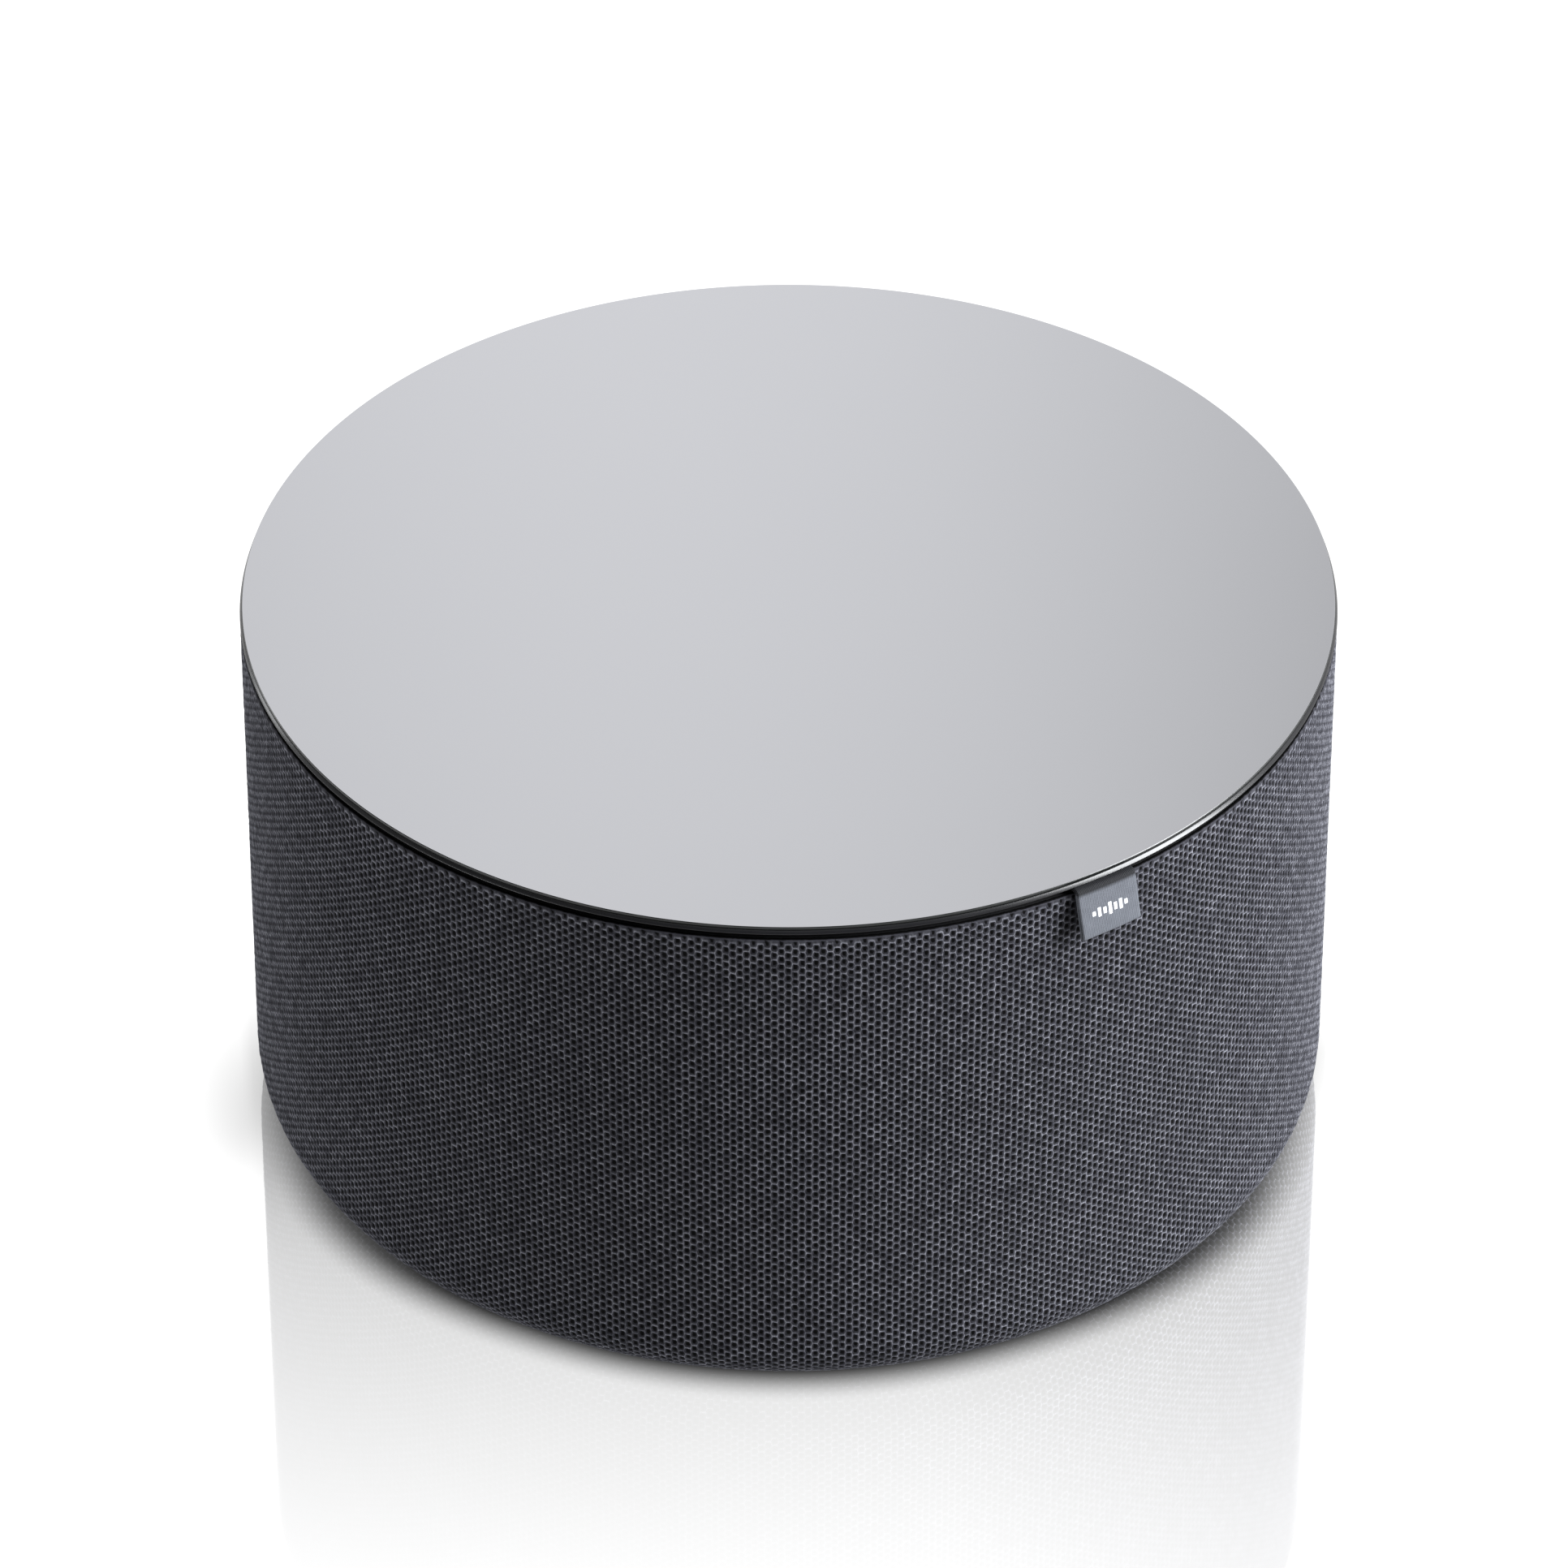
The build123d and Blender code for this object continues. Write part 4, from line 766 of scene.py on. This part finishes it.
def paper_material():
    s = Shader("cone_paper")
    fibres = s.noise(900, 4, 0.65, vector=s.stretch((1, 1, 4)), warp=1.5)
    fine = s.noise(4000, 3)
    s.set(
        Base_Color=s.mix(fibres, (0.014, 0.014, 0.015), (0.050, 0.049, 0.047)),
        Roughness=s.span(fine, 0.2, 0.8, 0.72, 0.92),
        Normal=s.bump(s.math("ADD", fibres, fine), 0.00009),
    )
    return s.mat


def film_material(name, base, line, pitch, rough):
    """Sensor film: a diamond grid of clear electrodes on a tinted sheet."""
    s = Shader(name)
    turned = s.stretch((1, 1, 1), (0, 0, math.pi / 4))
    a = s.span(s.wave(pitch, "X", turned), 0.85, 0.97)
    b = s.span(s.wave(pitch, "Y", turned), 0.85, 0.97)
    grid = s.math("MAXIMUM", a, b)
    s.set(
        Base_Color=s.mix(grid, base, line),
        Roughness=s.span(s.noise(200, 2), 0.3, 0.7, rough * 0.8, rough * 1.2),
        Normal=s.bump(grid, 0.00001),
    )
    return s.mat


FINISHES = {
    "black_plastic": grained("black_plastic", (0.0125, 0.0125, 0.0135), 0.48, 3400, 0.00003, 0.2),
    "socket_plastic": grained("socket_plastic", (0.016, 0.016, 0.018), 0.36, 4200, 0.000015, 0.2),
    "box_plastic": grained("box_plastic", (0.030, 0.031, 0.034), 0.55, 2200, 0.00004, 0.3, patch=40),
    "silicone": grained("silicone", (0.035, 0.035, 0.038), 0.78, 3000, 0.00002, 0.3, patch=60),
    "speaker_rubber": grained("speaker_rubber", (0.014, 0.014, 0.015), 0.5, 2600, 0.000012, 0.3),
    "adhesive_film": grained("adhesive_film", (0.045, 0.045, 0.048), 0.6, 1500, 0.00002, 0.3),
    "touch_film": film_material("touch_film", (0.16, 0.12, 0.075), (0.34, 0.28, 0.19), 4.5 * MM, 0.25),
    "zinc_steel": grained("zinc_steel", (0.58, 0.60, 0.64), 0.32, 2600, 0.00001, 0.12, metallic=1.0),
    "basket_black": grained("basket_black", (0.018, 0.018, 0.019), 0.52, 1900, 0.00006, 0.25),
    "driver_plastic": grained("driver_plastic", (0.022, 0.022, 0.024), 0.46, 3000, 0.00002, 0.2),
    "ferrite": grained("ferrite", (0.050, 0.048, 0.047), 0.62, 1300, 0.00008, 0.4),
    "cone_paper": paper_material(),
    "spider_cloth": cloth_material("spider_cloth", (0.26, 0.15, 0.060), (0.62, 0.43, 0.21), 0.5 * MM),
    "coil_copper": striped_material(
        "coil_copper", (0.52, 0.19, 0.08), (0.90, 0.46, 0.24), 0.25 * MM, "Z", 0.3, 1.0
    ),
    "aluminium": grained(
        "aluminium", (0.74, 0.75, 0.77), 0.34, 1800, 0.00001, 0.08, metallic=1.0, stretch=(1, 1, 12)
    ),
    "sink_black": grained(
        "sink_black", (0.020, 0.020, 0.022), 0.42, 2400, 0.00002, 0.3, metallic=0.6, stretch=(1, 1, 8)
    ),
    "board_green": board_material(),
    "chip_black": grained("chip_black", (0.017, 0.017, 0.018), 0.62, 3800, 0.00003, 0.25),
    "tin_plate": grained("tin_plate", (0.62, 0.62, 0.61), 0.36, 900, 0.00002, 0.12, metallic=1.0),
    "ferrite_core": grained("ferrite_core", (0.070, 0.066, 0.060), 0.66, 1500, 0.00006, 0.35),
    "cable_grey": striped_material(
        "cable_grey", (0.20, 0.205, 0.215), (0.42, 0.43, 0.44), 1.27 * MM, "X", 0.5, depth=0.0001
    ),
    "gold_plate": grained("gold_plate", (0.90, 0.66, 0.28), 0.26, 2200, 0.000008, 0.1, metallic=1.0),
    "nickel": grained("nickel", (0.66, 0.65, 0.62), 0.24, 2400, 0.000006, 0.08, metallic=1.0),
}
for piece in frame["record"]["subparts"]:
    node = nodes[piece["node"]]
    if node.hide_render or piece["material_slot"] not in FINISHES:
        continue
    for material_slot in node.material_slots:
        material_slot.material = FINISHES[piece["material_slot"]]

# ---- Floor, light, camera ------------------------------------------------------------------
FLOOR_GLOW = 1.32
POLISH = 0.562  # share of the mirror, falling with the distance from the hub's middle
POLISH_FULL, POLISH_END = 0.0404, 0.2585
STRIP_HALF = 0.1115  # the polished strip reaches a little past the mirrored hub on either side
STRIP_LEAN = 0.075


def floor_material():
    """A white table that glows: a painted contact shadow where the hub stands, polished in front of
    it, matt further out.
    """
    s = Shader("floor_white")
    axes = s.add("ShaderNodeSeparateXYZ")
    s.put(axes.inputs[0], s.coord)
    x, y = axes.outputs["X"], axes.outputs["Y"]
    radius = s.math("SQRT", s.math("ADD", s.math("MULTIPLY", x, x), s.math("MULTIPLY", y, y)))
    safe_radius = s.math("MAXIMUM", radius, 0.001)
    across = s.math("ABSOLUTE", x)
    lean = s.math("MULTIPLY", y, STRIP_LEAN)

    # the contact shadow, which bulges a little at the two front quarters
    side = s.math("SUBTRACT", s.math("DIVIDE", across, safe_radius), 0.86)
    half_dark = s.math("MULTIPLY_ADD", s.falloff(side, 0.24, 0.10), 0.0045, 0.1055)
    depth = s.span(across, 0.06, 0.095, 1, 0.87)
    past = s.math("SUBTRACT", radius, half_dark)
    contact = s.span(past, -0.0056, 0.0058, depth, 0, smooth=True)

    # a soft shade on the left, stronger on the matt part than on the strip
    front = s.math("SUBTRACT", s.math("DIVIDE", y, safe_radius), -0.2)
    aside = s.math("MULTIPLY", s.falloff(front, 0.22, 0.36), s.span(x, -0.06, -0.02, 1, 0))
    strip = s.span(s.math("SUBTRACT", across, lean), STRIP_HALF, STRIP_HALF + 0.0025, 1, 0)
    strip_shade = s.span(radius, 0.106, 0.129, 0.42, 0, smooth=True)
    open_shade = s.span(radius, 0.106, 0.135, 0.55, 0)
    less = s.math("MULTIPLY", strip, s.math("SUBTRACT", strip_shade, open_shade))
    shade = s.math("MULTIPLY", aside, s.math("ADD", open_shade, less))
    lit = s.math("SUBTRACT", 1, shade)

    # painted shade: the right half of the strip glows a little dimmer
    inside = s.span(s.math("SUBTRACT", x, lean), 0.109, STRIP_HALF, 1, 0)
    dim = s.math("MULTIPLY", s.span(x, 0.03, 0.09, 0, 0.1), inside)
    glow = s.math("MULTIPLY", s.math("SUBTRACT", 1, contact), s.math("SUBTRACT", 1, dim))
    glow = s.math("MULTIPLY", glow, FLOOR_GLOW)
    glow = s.math("MULTIPLY", glow, lit)

    polish = s.span(s.math("ABSOLUTE", y), POLISH_FULL, POLISH_END, POLISH, 0)
    polish = s.math("MULTIPLY", polish, s.span(y, 0.0, 0.03, 1, 0))
    polish = s.math("MULTIPLY", polish, strip)
    emission = s.add("ShaderNodeEmission")
    emission.inputs["Color"].default_value = (1, 1, 1, 1)
    s.put(emission.inputs["Strength"], glow)
    gloss = s.add("ShaderNodeBsdfGlossy")
    s.put(gloss.inputs["Color"], s.mix(lit, (0, 0, 0), (1, 1, 1)))
    gloss.inputs["Roughness"].default_value = 0.04
    blend = s.add("ShaderNodeMixShader")
    s.put(blend.inputs[0], polish)
    s.tree.links.new(emission.outputs[0], blend.inputs[1])
    s.tree.links.new(gloss.outputs[0], blend.inputs[2])
    surface = next(n for n in s.tree.nodes if n.type == "OUTPUT_MATERIAL")
    s.tree.links.new(blend.outputs[0], surface.inputs["Surface"])
    return s.mat


floor = revolved("studio_floor", [(0, 0), (1.5, 0), (8.0, 0)], 96, closed=False)
floor.data.materials.append(floor_material())

scene = bpy.context.scene
scene.view_settings.view_transform = "Standard"
studio = bpy.data.worlds.new("studio")
scene.world = studio
studio.use_nodes = True


class Sky(Shader):
    """The studio round the hub as one smooth field of light by direction."""

    def __init__(self, world):
        self.tree = world.node_tree
        self.tree.nodes.clear()
        out = self.add("ShaderNodeOutputWorld")
        self.background = self.add("ShaderNodeBackground")
        self.tree.links.new(self.background.outputs[0], out.inputs[0])
        self.coord = self.add("ShaderNodeTexCoord").outputs["Generated"]


FRONT_SKY = 0.15  # behind the camera
ZENITH = 0.85
PAPER = 1.1  # white paper round the backdrop
SPREAD = 0.0577  # the backdrop's half width and half height in direction units
RISE, RISE_SPREAD = 0.588, 0.03

sky = Sky(studio)
direction = sky.add("ShaderNodeSeparateXYZ")
sky.put(direction.inputs[0], sky.coord)
sx, sy, sz = direction.outputs

# the backdrop that the glass top mirrors: brightest at the upper left, darker to the right
az = sky.math("DIVIDE", sx, SPREAD)
el = sky.math("DIVIDE", sky.math("SUBTRACT", sz, RISE), RISE_SPREAD)
backdrop = sky.math("MULTIPLY_ADD", az, -0.098, 0.958)
backdrop = sky.math("MULTIPLY_ADD", el, -0.050, backdrop)
backdrop = sky.math("MULTIPLY_ADD", sky.math("MULTIPLY", az, az), -0.151, backdrop)
beside = sky.span(sky.math("ABSOLUTE", az), 1.03, 1.12, 0, PAPER)
above = sky.span(el, 1.0, 1.5, 0, PAPER)
backdrop = sky.math("MAXIMUM", backdrop, sky.math("MAXIMUM", beside, above))
backdrop = sky.math("MINIMUM", backdrop, PAPER)
backdrop = sky.math("MULTIPLY", backdrop, sky.span(sx, -0.55, -0.12, 0.4, 1))

# dim in front, the backdrop behind, an even zenith, and a bright rim at the horizon
field = sky.span(sy, -0.3, 0.35, FRONT_SKY, backdrop, smooth=True)
field = sky.math("MULTIPLY", field, sky.span(sz, 0.7, 0.92, 1, 0, smooth=True))
field = sky.math("ADD", field, sky.span(sz, 0.7, 0.92, 0, ZENITH, smooth=True))
horizon = sky.span(sz, 0.09, 0.24, 1, 0, smooth=True)
horizon = sky.math("MULTIPLY", horizon, sky.span(sx, -0.8, -0.3, 0.55, 1))
field = sky.math("MULTIPLY", field, sky.math("SUBTRACT", 1, horizon))
field = sky.math("ADD", field, horizon)
sky.put(sky.background.inputs["Strength"], field)
sky.background.inputs["Color"].default_value = (1, 1, 1, 1)


BODY_MIDDLE = (0, 0, 0.06)
LIGHT_REACH = 2.0
LIGHT_COLOR = (0.96, 0.98, 1.0)


def softbox(name, place, size, watts):
    data = bpy.data.lights.new(name, "AREA")
    data.shape = "RECTANGLE"
    data.size, data.size_y = size
    data.energy = watts
    data.color = LIGHT_COLOR
    obj = bpy.data.objects.new(name, data)
    obj.location = place
    obj.rotation_euler = (Vector(BODY_MIDDLE) - Vector(place)).to_track_quat("-Z", "Y").to_euler()
    scene.collection.objects.link(obj)


def studio_place(turn, rise):
    """A point at an angle from the front towards +X, at a height angle, from the hub's middle."""
    t, e = math.radians(turn), math.radians(rise)
    level = LIGHT_REACH * math.cos(e)
    return (
        level * math.sin(t),
        -level * math.cos(t),
        LIGHT_REACH * math.sin(e) + BODY_MIDDLE[2],
    )


for name, turn, rise, size, radiance in (
    ("key_box", 76, 27, (0.85, 1.6), 37),
    ("left_strip", -118, 10, (0.3, 0.7), 9.5),
    ("left_fill", -58, 4, (1.0, 0.35), 11),
):
    watts = radiance * math.pi * size[0] * size[1]
    softbox(name, studio_place(turn, rise), size, watts)

camera_data = bpy.data.cameras.new("camera")
camera = bpy.data.objects.new("camera", camera_data)
scene.collection.objects.link(camera)
scene.camera = camera
camera_data.sensor_width = 36.0
camera_data.lens = 216.86
VIEW_RANGE = 1.894
VIEW_RISE = math.radians(35.955)
VIEW_PITCH = math.radians(37.125)
camera.location = (0, -VIEW_RANGE * math.cos(VIEW_RISE), TOP_Z + VIEW_RANGE * math.sin(VIEW_RISE))
camera.rotation_euler = (math.pi / 2 - VIEW_PITCH, 0, math.radians(0.0347))
camera_data.clip_start = 0.05
camera_data.clip_end = 50
